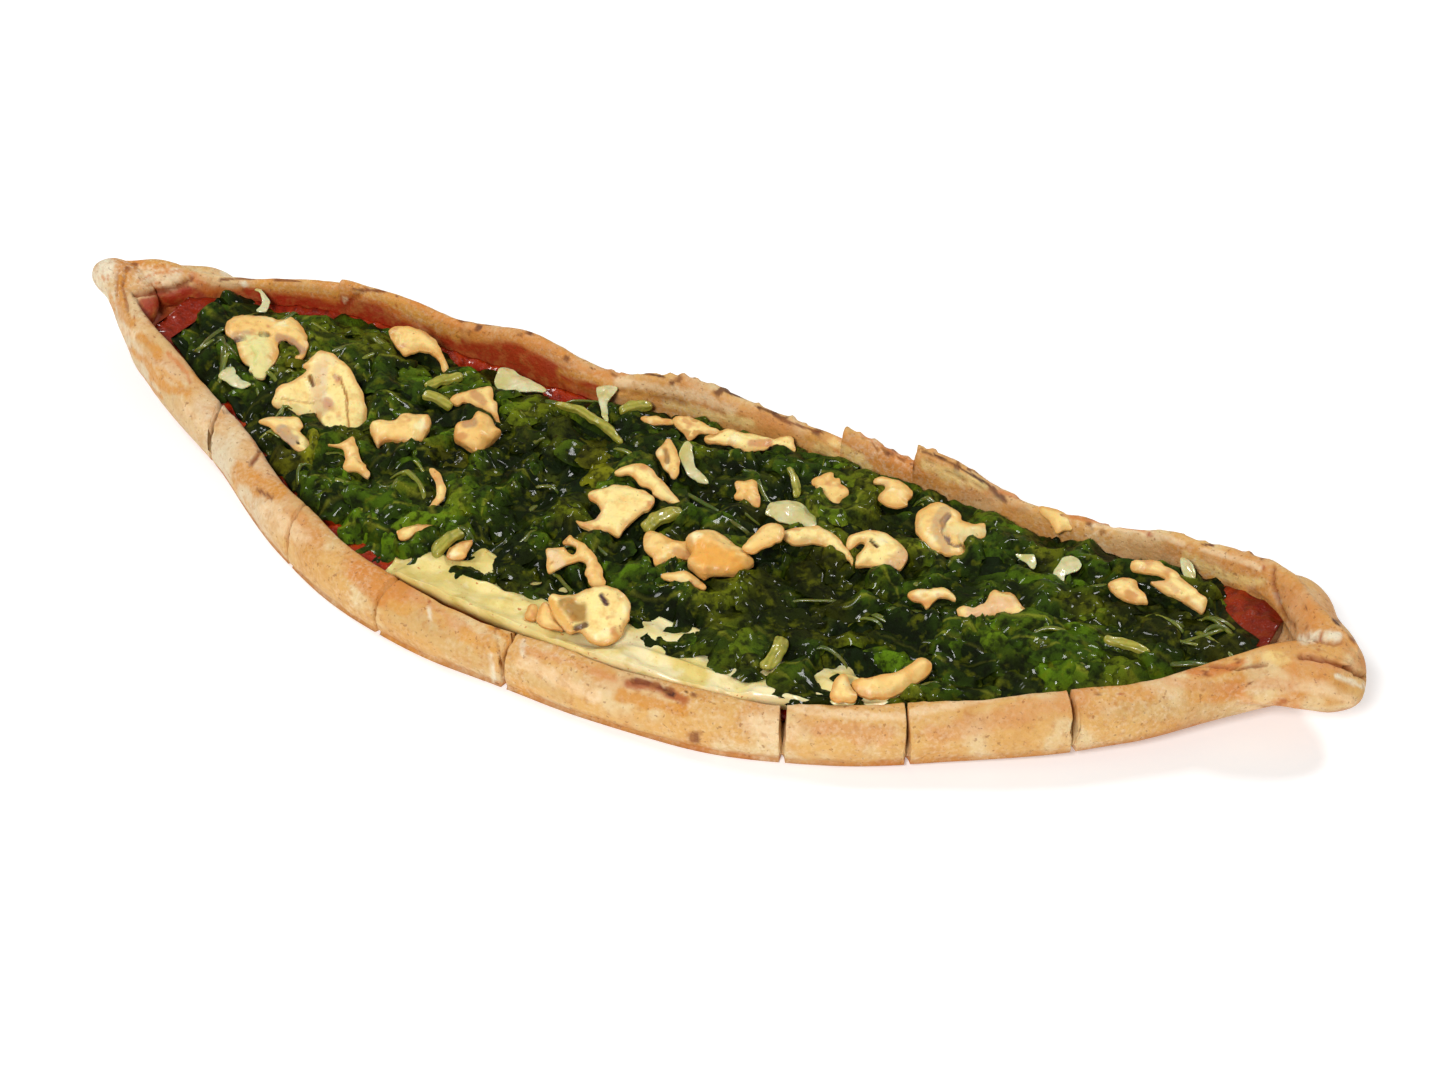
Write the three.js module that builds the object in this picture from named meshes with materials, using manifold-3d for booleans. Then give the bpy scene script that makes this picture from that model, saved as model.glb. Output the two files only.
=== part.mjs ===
// A baked boat-shaped flatbread with a folded rim, filled with tomato sauce, melted cheese,
// wilted spinach, mushroom pieces, onion and spinach stalks.
// Millimetres, +Z up. X runs along the boat, and -Y is the side that bulges. The origin is on the
// resting plane, under the middle of the bounding box.
import * as THREE from "three";
import { mergeVertices } from "three/addons/utils/BufferGeometryUtils.js";
import Module from "manifold-3d";

const wasm = await Module();
wasm.setup();
const { clamp, degToRad, lerp, smoothstep } = THREE.MathUtils;

// Bread
const TIP_X = 225; // where the underside's rise ends, near the tips
const FLAT_HALF = 60; // half the length of the flat stretch that it rests on
const TIP_LIFT = 14; // how far the underside rises towards the tips
const BODY_ENDS = [-217, 219]; // where the lofted body stops and the folded ends take over
const HOLLOW_ENDS = [-204, 206]; // where the hollow for the filling runs out
const BASE = 5; // thickness of the dough under the filling
const STATIONS = 38; // even steps of the loft along the boat

// Outer walls seen from above, as [x, near wall, far wall]
const OUTLINE = [
  [-217, 22, 31], [-206, 12, 41], [-190, -1, 45], [-168, -13, 54], [-140, -27, 64], [-100, -52, 67],
  [-55, -68, 66], [0, -73, 70], [50, -71, 70], [90, -61, 66], [130, -41, 64], [168, -17, 64],
  [190, 3, 58], [204, 14, 45], [219, 19, 33],
];
// Rim, as [x, near height, far height, near width, far width], with heights above the underside
const RIM = [
  [-217, 16, 16, 5, 5], [-200, 18, 18, 10, 12], [-180, 18, 18, 12, 7], [-140, 16, 17, 14, 6],
  [-80, 16, 18, 14, 9], [0, 15, 16, 12, 9], [80, 16, 17, 12, 8], [140, 17, 16, 13, 7],
  [185, 18, 18, 14, 11], [204, 18, 19, 15, 13], [219, 15, 15, 7, 7],
];
// Knife cuts through the near rim, as [x, how far the cut leans along x from outside to inside]
const NEAR_CUTS = [[-143, -6], [-94, -1], [-53, 2], [-6, -1], [82, -6], [115, -7], [156, -8]];
const CUT_HALF = 0.9; // half the width of a cut
const CUT_DEPTH = 0.78; // share of the rim's height that a cut takes
// Torn flaps of the far rim, as [x where one starts, its rise, the length over which it sinks back]
const FAR_FLAPS = [[-147, 1.5, 36], [39, 5.5, 23], [65, 6, 34]];
// Humps of the far rim's crest, as [x, rise]
const FAR_HUMPS = [
  [-217, 0], [-176, 0.5], [-160, 2.5], [-134, 3.5], [-108, 2], [-96, 3.5], [-74, 8], [-46, 2.5],
  [-18, 7.5], [6, 5], [32, 2], [60, 1], [80, 3], [100, 0.8], [126, 0.6], [150, 4.5], [160, 2.5],
  [186, 2], [204, 0.5], [219, 0],
];
// Rolls of dough folded over at the tips: the left knob, the left flap, the far end and the near
// rim's end. Each has [x, y, z, radius] points along its middle.
const ROLLS = [
  [[-196, 14, 19, 5], [-205, 21, 21, 7.5], [-214, 26, 23.5, 7.5], [-225, 28, 24.5, 6]],
  [[-180, 46, 20, 3.5], [-191, 43, 20.5, 5.5], [-202, 34, 21, 6.5], [-211, 28, 22, 6]],
  [[176, 57, 19, 4], [194, 51, 22, 7], [204, 39, 22.5, 7.5], [214, 29, 21.5, 8], [223, 21, 19.5, 5.5]],
  [[188, 6, 17, 4], [202, 16, 19, 7], [214, 22, 18, 8], [224, 23, 18, 5.5]],
];

// Fillings, with heights above the underside
const GAP = 0.35; // clearance between pieces that touch
const SHORTEST = 0.03; // the shortest edge that a joined solid keeps
const SAUCE_ENDS = [-192, 193];
const SAUCE_TOP = 9.2;
const CHEESE_ENDS = [-60, 128];
const CHEESE_DEPTH = 2.6;
const CHEESE_WIDTH = 26;
const HEAP_ENDS = [-181, 190];
const HEAP_EDGE = 12.5;
const HEAP_CROWN = 17.5;
const SINK = 1.6; // how deep a topping is pressed into the heap
const RISE_STEP = 0.4; // how far a topping is raised at a time until it is clear
const LEAF_THICK = 0.9;
const LEAF_TRIES = 66;
const LEAF_SEED = 7;

// Toppings. Each row is [kind, x, y, heading of its long axis or stem, lean of its face towards
// the near right, length, width, thickness], with angles in degrees.
const LEAN_TOWARDS = -62;
const MUSHROOMS = [
  ["slice", -154, 25, -74, 10, 29, 15, 4], ["slice", -115, 12, -146, 30, 29, 17, 4.5],
  ["slice", -121, -15, -48, 20, 18, 11, 3.5], ["chunk", -95, -17, 60, 10, 12, 9, 3.5],
  ["chunk", -88, 4, 35, 12, 20, 12, 6], ["chunk", -66, 14, 10, 15, 12, 12, 8],
  ["cap", -74, 29, -6, 15, 15, 8, 4], ["chunk", -108, 43, -17, 12, 20, 9, 4],
  ["strip", -57, -38, 64, 10, 14, 5, 3], ["chunk", -38, -39, 30, 10, 9, 7, 3],
  ["cap", -62, -17, -56, 20, 18, 6, 3.5], ["chunk", -8, 0, 20, 6, 22, 17, 4.5],
  ["cap", -3, 17, -8, 20, 25, 8, 4], ["cap", -8, 31, -62, 20, 14, 7, 3.5],
  ["slice", -3, -26, -152, 12, 20, 11, 3.5], ["slice", 18, -43, 169, 20, 17, 11, 5],
  ["cap", 3, -53, -70, 15, 13, 6, 4], ["chunk", -9, -48, 40, 10, 9, 8, 4],
  ["chunk", 15, -12, 10, 8, 13, 11, 3.5], ["chunk", 32, -5, 16, 8, 20, 14, 8],
  ["strip", 28, -21, 16, 15, 15, 5, 3], ["chunk", 23, 27, -50, 15, 10, 8, 3.5],
  ["chunk", 47, 43, 10, 12, 13, 11, 3.5], ["slice", 64, 47, 164, 10, 14, 9, 3.5],
  ["slice", 86, 38, 33, 8, 22, 12, 4], ["slice", 77, 18, 174, 12, 17, 11, 5],
  ["cap", 56, 14, 0, 12, 18, 8, 4], ["strip", 42, 9, 64, 10, 13, 6, 3.5],
  ["chunk", 96, 3, 20, 10, 15, 8, 3.5], ["chunk", 116, 9, 35, 8, 20, 9, 3],
  ["chunk", 146, 28, -10, 12, 11, 9, 4], ["cap", 161, 37, -11, 12, 27, 8, 4],
  ["cap", 103, -32, 46, 20, 25, 8, 5], ["chunk", 91, -43, -62, 15, 12, 7, 4.5],
  ["chunk", -7, 50, 3, 10, 19, 8, 3], ["chunk", 18, 51, 3, 10, 19, 8, 3],
  ["strip", -19, 44, 10, 10, 12, 4, 2.5], ["cap", 114, 52, 30, 10, 12, 5, 3],
];
const ONIONS = [
  ["chunk", -149, -1, -20, 8, 11, 7, 2.5], ["strip", -168, 36, -60, 10, 8, 3.5, 2],
  ["chunk", -70, 45, 0, 12, 17, 8, 2.5], ["strip", -46, 47, 110, 0, 12, 5, 2.5],
  ["strip", 9, 34, -75, 15, 15, 5, 2.5], ["chunk", 42, 24, 20, 8, 17, 9, 2.5],
  ["chunk", 163, 49, -40, 10, 8, 5, 2.5], ["chunk", 128, 33, 10, 8, 9, 7, 2.5],
  ["chunk", 114, 35, 0, 8, 7, 5, 2],
];
const STALKS = [
  ["stalk", -91, 33, 50, 8, 13, 3.6, 3], ["stalk", -87, 23, 0, 8, 11, 3.6, 3],
  ["stalk", -46, -37, 75, 8, 12, 4.4, 3], ["stalk", -38, 36, -8, 8, 28, 3, 2.6],
  ["stalk", -30, 52, 45, 8, 11, 4, 3], ["stalk", 8, 1, 71, 8, 15, 5, 3.4],
  ["stalk", 34, 38, -50, 8, 14, 2.4, 2], ["stalk", 66, -38, -82, 8, 14, 4, 3],
  ["stalk", 158, 6, 10, 8, 14, 3, 2.4],
];
const numbered = (name, rows) => rows.map((row, i) => ({ name: `${name}_${i + 1}`, row }));
const TOPPINGS = [
  ...numbered("mushroom", MUSHROOMS), ...numbered("onion", ONIONS), ...numbered("stalk", STALKS),
];

// Smooth curve through rows of [x, value, ...]: cubic Hermite with central slopes.
function along(rows, column) {
  const slope = (i) => {
    const a = rows[Math.max(i - 1, 0)];
    const b = rows[Math.min(i + 1, rows.length - 1)];
    return (b[column] - a[column]) / (b[0] - a[0]);
  };
  return (x) => {
    const at = clamp(x, rows[0][0], rows[rows.length - 1][0]);
    let i = 0;
    while (i < rows.length - 2 && at > rows[i + 1][0]) i += 1;
    const width = rows[i + 1][0] - rows[i][0];
    const t = (at - rows[i][0]) / width;
    const [t2, t3] = [t * t, t * t * t];
    return (2 * t3 - 3 * t2 + 1) * rows[i][column] + (t3 - 2 * t2 + t) * width * slope(i)
      + (3 * t2 - 2 * t3) * rows[i + 1][column] + (t3 - t2) * width * slope(i + 1);
  };
}
const nearWall = along(OUTLINE, 1);
const farWall = along(OUTLINE, 2);
const nearHeight = along(RIM, 1);
const farHeight = along(RIM, 2);
const nearWidth = along(RIM, 3);
const farWidth = along(RIM, 4);

// A share that fades in from start and out to end, over the given lengths.
function between(x, start, end, fadeIn, fadeOut = fadeIn) {
  return smoothstep(x, start, start + fadeIn) * (1 - smoothstep(x, end - fadeOut, end));
}

// A seeded generator, so that each build draws the same numbers.
function seeded(seed) {
  let state = seed;
  return () => {
    state = (state * 1664525 + 1013904223) % 4294967296;
    return state / 4294967296;
  };
}

// Height of the underside above the resting plane.
function lift(x) {
  const t = Math.max(Math.abs(x) - FLAT_HALF, 0) / (TIP_X - FLAT_HALF);
  return TIP_LIFT * t * t;
}

// Slow waves that keep the dough uneven.
const wave = (x, phase) => 0.6 * Math.sin(x / 17 + phase) + 0.4 * Math.sin(x / 7.3 + 2.1 * phase);

// How much a hump or a torn flap raises the far rim at x.
const humpRise = along(FAR_HUMPS, 1);
function farRise(x) {
  let rise = humpRise(x);
  for (const [start, height, length] of FAR_FLAPS) {
    if (x >= start && x < start + length) rise += height * (1 - (x - start) / length);
  }
  return rise;
}

// Where the hollow for the filling begins and ends across the boat, and the share of its depth.
function hollow(x) {
  const near = nearWall(x) + nearWidth(x);
  const far = farWall(x) - farWidth(x);
  const middle = (near + far) / 2;
  const open = between(x, ...HOLLOW_ENDS, 5, 6);
  return { near: Math.min(near, middle - 2.4), far: Math.max(far, middle + 2.4), open };
}

// Closed ring of the bread's section at x, as [y, z] pairs: the underside, the far wall and rim,
// the floor of the hollow, then the near rim and wall.
function breadSection(x, cut) {
  const inner = hollow(x);
  const hn = (nearHeight(x) + wave(x, 0.4)) * (1 - CUT_DEPTH * cut);
  const hf = farHeight(x) + wave(x, 2.2) + farRise(x);
  const yn = nearWall(x) + 0.5 * wave(x, 1.3) + 3.5 * cut;
  const yf = farWall(x) + 0.5 * wave(x, 3.9);
  const foot = Math.min(5, 0.25 * (yf - yn));
  const wn = Math.max(inner.near - yn, 2);
  const wf = Math.max(yf - inner.far, 2);
  const floor = lerp(0.97 * Math.min(hn, hf), BASE, inner.open);
  const lipN = Math.max(floor, 0.72 * hn);
  const lipF = Math.max(floor, 0.72 * hf);
  return [
    [yn + foot, 0], [yn + 0.33 * (yf - yn), 0], [yn + 0.67 * (yf - yn), 0], [yf - foot, 0],
    [yf - 1.6, 1.6], [yf, 0.4 * hf], [yf - 0.8, 0.72 * hf], [yf - 0.28 * wf, 0.94 * hf],
    [yf - 0.55 * wf, hf], [yf - 0.85 * wf, 0.93 * hf], [yf - wf, lipF],
    [inner.far - 0.4, floor + Math.min(0.25 * (lipF - floor), 2)], [inner.far - 1.6, floor],
    [inner.near + 1.6, floor], [inner.near + 0.4, floor + Math.min(0.25 * (lipN - floor), 2)],
    [yn + wn, lipN], [yn + 0.88 * wn, 0.97 * hn], [yn + 0.62 * wn, hn], [yn + 0.26 * wn, 0.9 * hn],
    [yn + 0.8, 0.7 * hn], [yn, Math.min(0.4 * hn, 0.4 * nearHeight(x))], [yn + 1.6, 1.6],
  ].map(([y, z]) => [y, z + lift(x)]);
}

// Joins rings of equal length into one closed body, with a fan at each end.
function loft(rings) {
  const count = rings[0].length;
  const points = rings.flat();
  const faces = [];
  for (let i = 0; i + 1 < rings.length; i += 1) {
    for (let j = 0; j < count; j += 1) {
      const k = (j + 1) % count;
      const [a, b, c, d] = [i * count + j, i * count + k, (i + 1) * count + k, (i + 1) * count + j];
      faces.push(a, b, c, a, c, d);
    }
  }
  for (const end of [0, rings.length - 1]) {
    const middle = points.length;
    const ring = rings[end];
    points.push([0, 1, 2].map((axis) => ring.reduce((sum, p) => sum + p[axis], 0) / count));
    for (let j = 0; j < count; j += 1) {
      const [a, b] = [end * count + j, end * count + ((j + 1) % count)];
      faces.push(...(end ? [middle, a, b] : [middle, b, a]));
    }
  }
  return indexed(points, faces);
}

function indexed(points, faces) {
  const geometry = new THREE.BufferGeometry();
  geometry.setAttribute("position", new THREE.Float32BufferAttribute(points.flat(), 3));
  geometry.setIndex(faces);
  return geometry;
}

// A closed geometry as a manifold solid, and back.
function solidOf(geometry) {
  const bare = geometry.clone();
  bare.deleteAttribute("normal");
  bare.deleteAttribute("uv");
  const merged = mergeVertices(bare, 1e-3);
  return new wasm.Manifold(new wasm.Mesh({
    numProp: 3,
    vertProperties: merged.attributes.position.array,
    triVerts: Uint32Array.from(merged.index.array),
  }));
}
function geometryOf(solid) {
  const { vertProperties, triVerts } = solid.getMesh();
  const geometry = new THREE.BufferGeometry();
  geometry.setAttribute("position", new THREE.BufferAttribute(vertProperties, 3));
  geometry.setIndex(new THREE.BufferAttribute(triVerts, 1));
  return geometry;
}

// Joins the ends of each edge shorter than SHORTEST, which joins and cuts leave behind, and drops
// the triangles that this flattens.
function tidied(geometry) {
  const points = geometry.attributes.position;
  const index = Array.from(geometry.index.array);
  const at = (i) => new THREE.Vector3().fromBufferAttribute(points, i);
  const into = new Map();
  const kept = (i) => (into.has(i) ? kept(into.get(i)) : i);
  index.forEach((corner, i) => {
    const [a, b] = [kept(corner), kept(index[i % 3 === 2 ? i - 2 : i + 1])];
    if (a !== b && at(a).distanceTo(at(b)) < SHORTEST) into.set(b, a);
  });
  const faces = [];
  for (let i = 0; i < index.length; i += 3) {
    const face = index.slice(i, i + 3).map(kept);
    if (new Set(face).size === 3) faces.push(...face);
  }
  const tidy = geometry.clone();
  tidy.setIndex(faces);
  return mergeVertices(tidy, 1e-4);
}

// A roll of dough with blunt ends, along a curve through [x, y, z, radius] points.
function roll(points) {
  const [sides, steps] = [10, 9];
  const curve = new THREE.CatmullRomCurve3(points.map(([x, y, z]) => new THREE.Vector3(x, y, z)));
  const rings = Array.from({ length: steps + 1 }, (_, i) => {
    const t = i / steps;
    const at = t * (points.length - 1);
    const start = Math.min(Math.floor(at), points.length - 2);
    const blunt = Math.sqrt(1.04 - Math.abs(2 * t - 1) ** 5);
    const radius = blunt * lerp(points[start][3], points[start + 1][3], at - start);
    const middle = curve.getPoint(t);
    const level = new THREE.Vector3(0, 0, 1).cross(curve.getTangent(t)).normalize();
    return Array.from({ length: sides }, (unused, j) => {
      const angle = (2 * Math.PI * j) / sides;
      const across = radius * Math.cos(angle);
      const height = middle.z + radius * Math.sin(angle);
      return [middle.x + level.x * across, middle.y + level.y * across, height];
    });
  });
  return solidOf(loft(rings));
}

// Places of the loft's rings: even ones, and extra ones that draw each cut and each flap sharply.
function breadStations() {
  const sharp = [];
  for (const [x] of NEAR_CUTS) {
    sharp.push({ x: x - CUT_HALF, cut: 0 }, { x, cut: 1 }, { x: x + CUT_HALF, cut: 0 });
  }
  for (const [x] of FAR_FLAPS) sharp.push({ x: x - 0.8, cut: 0 }, { x: x + 0.1, cut: 0 });
  const even = Array.from({ length: STATIONS + 1 }, (_, i) => lerp(...BODY_ENDS, i / STATIONS));
  const clear = even.filter((x) => sharp.every((s) => Math.abs(s.x - x) > 2));
  return [...sharp, ...clear.map((x) => ({ x, cut: 0 }))].sort((a, b) => a.x - b.x);
}

// A cut crosses the rim at its own angle, so near it the section slides along the rim inwards.
function slide(x, y) {
  let shift = 0;
  for (const [at, lean] of NEAR_CUTS) {
    const closeness = Math.max(0, 1 - Math.abs(x - at) / 14);
    const inward = clamp((y - nearWall(at)) / 14, 0, 1);
    const fade = 1 - clamp((y - nearWall(at) - 20) / 40, 0, 1);
    shift += lean * closeness * inward * fade;
  }
  return [x + shift, y + nearWall(x + shift) - nearWall(x)];
}

// Dough boat: a lofted tray whose rim is slit on the near side, with its ends folded over.
function bread() {
  const rings = breadStations().map(({ x, cut }) => (
    breadSection(x, cut).map(([y, z]) => [...slide(x, y), z])
  ));
  return ROLLS.reduce((dough, points) => dough.add(roll(points)), solidOf(loft(rings)));
}

// A layer between bottom(x, y) and top(x, y), inside the edges near(x) and far(x).
function layer({ ends, bottom, top, near, far, steps, across }) {
  const below = 3;
  const rings = [];
  for (let i = 0; i <= steps; i += 1) {
    const x = lerp(...ends, i / steps);
    const ring = [];
    for (let j = 0; j <= below; j += 1) {
      const y = lerp(near(x) + 1, far(x) - 1, j / below);
      ring.push([x, y, bottom(x, y)]);
    }
    for (let j = across; j >= 0; j -= 1) {
      const y = lerp(near(x), far(x), j / across);
      ring.push([x, y, top(x, y)]);
    }
    rings.push(ring);
  }
  return loft(rings);
}

// Tomato sauce over the whole floor of the hollow, lumpy on top.
function sauceTop(x, y) {
  const ends = smoothstep(Math.abs(x), 160, 190);
  return lift(x) + SAUCE_TOP + 1.8 * ends + 0.35 * Math.sin(x / 5) * Math.sin(y / 4.2);
}
const sauce = () => layer({
  ends: SAUCE_ENDS,
  bottom: (x) => lift(x) + BASE + GAP + 0.5,
  top: sauceTop,
  near: (x) => hollow(x).near + GAP + 1.2,
  far: (x) => hollow(x).far - GAP - 1.2,
  steps: 30,
  across: 5,
});

// Melted cheese in a strip on the sauce along the near rim, and a little way up the rim's inside.
const cheeseNear = (x) => hollow(x).near + GAP + 0.7;
const cheeseFar = (x) => cheeseNear(x) + CHEESE_WIDTH - 6 * smoothstep(x, 20, 120);
function cheeseTop(x, y) {
  const edge = lift(x) + SAUCE_TOP + 1.6;
  const up = 2.6 * Math.exp(-Math.max(y - cheeseNear(x), 0) / 7);
  const full = edge - 0.6 + CHEESE_DEPTH + up + 0.3 * Math.sin(x / 6 + y / 5);
  return lerp(edge, full, between(x, ...CHEESE_ENDS, 8, 12));
}
// The cheese, larger by grow on every side.
const cheese = (grow) => layer({
  ends: [CHEESE_ENDS[0] - grow, CHEESE_ENDS[1] + grow],
  bottom: (x) => lift(x) + SAUCE_TOP + 0.4 + GAP - 3 * grow,
  top: (x, y) => cheeseTop(x, y) + grow,
  near: (x) => cheeseNear(x) - grow,
  far: (x) => cheeseFar(x) + grow,
  steps: 24,
  across: 4,
});

// Spinach heap: the edges of its outline, and the heights of its bare core.
function heapNear(x) {
  const cheeseStrip = 15 * between(x, -66, 95, 22, 50);
  const bareSauce = 7 * between(x, -98, -50, 14);
  return hollow(x).near + 2.5 + cheeseStrip + bareSauce;
}
function heapFar(x) {
  const bareSauce = 7 * between(x, -176, -44, 16, 18) + 14 * smoothstep(x, 160, 186);
  return hollow(x).far - 1.8 - bareSauce;
}
function heapTop(x, y) {
  const across = clamp((y - heapNear(x)) / (heapFar(x) - heapNear(x)), 0, 1);
  const crown = 1 - Math.abs(2 * across - 1) ** 3;
  const close = 1 - smoothstep(Math.abs(x - 6), 168, 187);
  const lumps = 0.9 * Math.sin(x / 9 + 1) * Math.sin(y / 8) + 0.7 * Math.sin(x / 5.2 + y / 6.5);
  const rise = (HEAP_CROWN - HEAP_EDGE + lumps) * crown * close;
  const height = lift(x) + HEAP_EDGE + 1.2 * (1 - close) + rise;
  return y < cheeseFar(x) ? Math.max(height, cheeseTop(x, y) + 1.5) : height;
}
const heapBottom = (x) => lift(x) + SAUCE_TOP + 1.8 * smoothstep(Math.abs(x), 160, 190) + 0.7 + GAP;

// The bed that a topping lies on: a plane through the heap that leans as the topping does.
const towards = new THREE.Vector2(Math.cos(degToRad(LEAN_TOWARDS)), Math.sin(degToRad(LEAN_TOWARDS)));
function bed([, tx, ty, , lean], x, y) {
  const away = -(x - tx) * towards.x - (y - ty) * towards.y;
  return heapTop(tx, ty) - SINK + away * Math.tan(degToRad(lean));
}

// Height of the core: the heap, pressed to the bed of each topping.
function coreTop(x, y) {
  let height = heapTop(x, y);
  for (const { row } of TOPPINGS) {
    const [, tx, ty, , , length] = row;
    const reach = Math.hypot(x - tx, y - ty) / (0.5 * length + 2);
    if (reach < 1.3) height = lerp(height, bed(row, x, y), 1 - smoothstep(reach, 0.7, 1.3));
  }
  return Math.max(height, heapBottom(x) + 1);
}
const heap = () => solidOf(layer({
  ends: HEAP_ENDS,
  bottom: heapBottom,
  top: coreTop,
  near: heapNear,
  far: heapFar,
  steps: 52,
  across: 14,
}));

// Points of an arc on an ellipse, from one angle to another in degrees.
function arc([rx, ry], [from, to], count, [cx, cy] = [0, 0]) {
  return Array.from({ length: count }, (_, i) => {
    const angle = degToRad(lerp(from, to, i / (count - 1)));
    return [cx + rx * Math.cos(angle), cy + ry * Math.sin(angle)];
  });
}

// Outlines of the toppings, with the long axis or the stem along +X.
const outlines = {
  // Mushroom cut lengthwise: the cap's dome points to -X, with a notch of gills beside the stem.
  slice(length, width) {
    const radius = length / 2;
    const stem = 0.34 * radius;
    const half = [
      [0.3 * width, 0.8 * radius], [0.08 * width, 0.46 * radius], [0.24 * width, stem],
      [0.8 * width, 0.9 * stem], [0.88 * width, 0.45 * stem],
    ];
    const nearSide = half.map(([x, y]) => [x, -y]);
    return [...arc([width, radius], [80, 280], 8, [0.1 * width, 0]), ...nearSide, ...half.reverse()];
  },
  // Cap without its stem: a crescent that bulges to +Y.
  cap(length, width) {
    const middle = [0, -0.4 * width];
    const outer = arc([0.5 * length, width], [8, 172], 7, middle);
    return [...outer, ...arc([0.28 * length, 0.42 * width], [160, 20], 4, middle)];
  },
  chunk(length, width) {
    return arc([1, 1], [0, 315], 8).map(([x, y], i) => {
      const bump = 1 + 0.13 * Math.sin(2.3 * i + length) + 0.08 * Math.cos(1.1 * i + 3 * width);
      return [0.5 * length * x * bump, 0.5 * width * y * bump];
    });
  },
  // Narrow piece that curves a little.
  strip(length, width) {
    const outer = arc([0.5 * length, 0.24 * length], [10, 170], 4);
    return [...outer, ...arc([0.45 * length, 0.2 * length], [165, 15], 4, [0, -width])];
  },
};
const shapeOf = (points) => new THREE.Shape(points.map(([x, y]) => new THREE.Vector2(x, y)));

// A stalk: a bent rod of six sides.
function stalkGeometry(length, width, thick, grow) {
  const bend = new THREE.CatmullRomCurve3([
    new THREE.Vector3(-0.5 * length - grow, 0, 0),
    new THREE.Vector3(-0.15 * length, 0.06 * length, 0.2),
    new THREE.Vector3(0.2 * length, 0.04 * length, 0.3),
    new THREE.Vector3(0.5 * length + grow, -0.04 * length, 0),
  ]);
  const section = shapeOf(arc([0.5 * thick + grow, 0.5 * width + grow], [0, 300], 6));
  return new THREE.ExtrudeGeometry(section, { steps: 4, extrudePath: bend });
}

// One topping's shape, centred on its own origin, and larger by grow on every side.
function toppingGeometry([kind, , , , , length, width, thick], grow = 0) {
  if (kind === "stalk") return stalkGeometry(length, width, thick, grow);
  const bevel = Math.min(0.3 * thick, 1.4);
  const body = new THREE.ExtrudeGeometry(shapeOf(outlines[kind](length, width)), {
    depth: thick - 2 * bevel + 2 * grow,
    bevelThickness: bevel,
    bevelSize: 0.6 * bevel,
    bevelOffset: grow - 0.6 * bevel,
    bevelSegments: 1,
    curveSegments: 1,
  });
  body.translate(0, 0, bevel - 0.5 * thick - grow);
  return body;
}

// Turn of a topping: its heading in its own plane, then its lean.
function turnOf([, , , heading, lean]) {
  const hinge = new THREE.Vector3(-towards.y, towards.x, 0);
  const tip = new THREE.Quaternion().setFromAxisAngle(hinge, degToRad(lean));
  const spin = new THREE.Quaternion().setFromAxisAngle(new THREE.Vector3(0, 0, 1), degToRad(heading));
  return tip.multiply(spin);
}

function solidAt(geometry, position, turn) {
  const matrix = new THREE.Matrix4().compose(position, turn, new THREE.Vector3(1, 1, 1));
  return solidOf(geometry.clone().applyMatrix4(matrix));
}

// Lays each topping on its bed, and raises it until it clears all that lies there already.
function layToppings(laid) {
  const blocks = [...laid];
  return TOPPINGS.map(({ name, row }) => {
    const [, x, y, , , , , thick] = row;
    const position = new THREE.Vector3(x, y, bed(row, x, y) + 0.5 * thick);
    let solid = solidAt(toppingGeometry(row, GAP), position, turnOf(row));
    while (blocks.some((block) => block.intersect(solid).volume() > 0)) {
      position.z += RISE_STEP;
      solid = solid.translate([0, 0, RISE_STEP]);
    }
    blocks.push(solid);
    return { name, row, position, solid };
  });
}

// A wilted leaf: a thin wavy sheet, with the same triangles on both faces.
function leafGeometry(length, width, phase) {
  const [cellsX, cellsY] = [4, 2];
  const row = cellsY + 1;
  const layerSize = (cellsX + 1) * row;
  const points = [];
  for (const side of [0, 1]) {
    for (let i = 0; i <= cellsX; i += 1) {
      for (let j = 0; j <= cellsY; j += 1) {
        const [u, v] = [i / cellsX, j / cellsY];
        const spread = Math.sin(Math.PI * (0.12 + 0.76 * u)) ** 0.7;
        const wavy = 1.5 * Math.sin(5.5 * u + phase) + 1.1 * Math.sin(5 * v + 4 * u + 2 * phase);
        points.push([(u - 0.5) * length, (v - 0.5) * width * spread, wavy + side * LEAF_THICK]);
      }
    }
  }
  const faces = [];
  for (let i = 0; i < cellsX; i += 1) {
    for (let j = 0; j < cellsY; j += 1) {
      const [a, b, c, d] = [i * row + j, (i + 1) * row + j, (i + 1) * row + j + 1, i * row + j + 1];
      faces.push(a, c, b, a, d, c);
      faces.push(...[a, b, c, a, c, d].map((index) => index + layerSize));
    }
  }
  const rim = [
    ...Array.from({ length: cellsX }, (_, i) => i * row),
    ...Array.from({ length: cellsY }, (_, j) => cellsX * row + j),
    ...Array.from({ length: cellsX }, (_, i) => (cellsX - i) * row + cellsY),
    ...Array.from({ length: cellsY }, (_, j) => cellsY - j),
  ];
  rim.forEach((a, i) => {
    const b = rim[(i + 1) % rim.length];
    faces.push(a, b, b + layerSize, a, b + layerSize, a + layerSize);
  });
  return indexed(points, faces);
}

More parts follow.
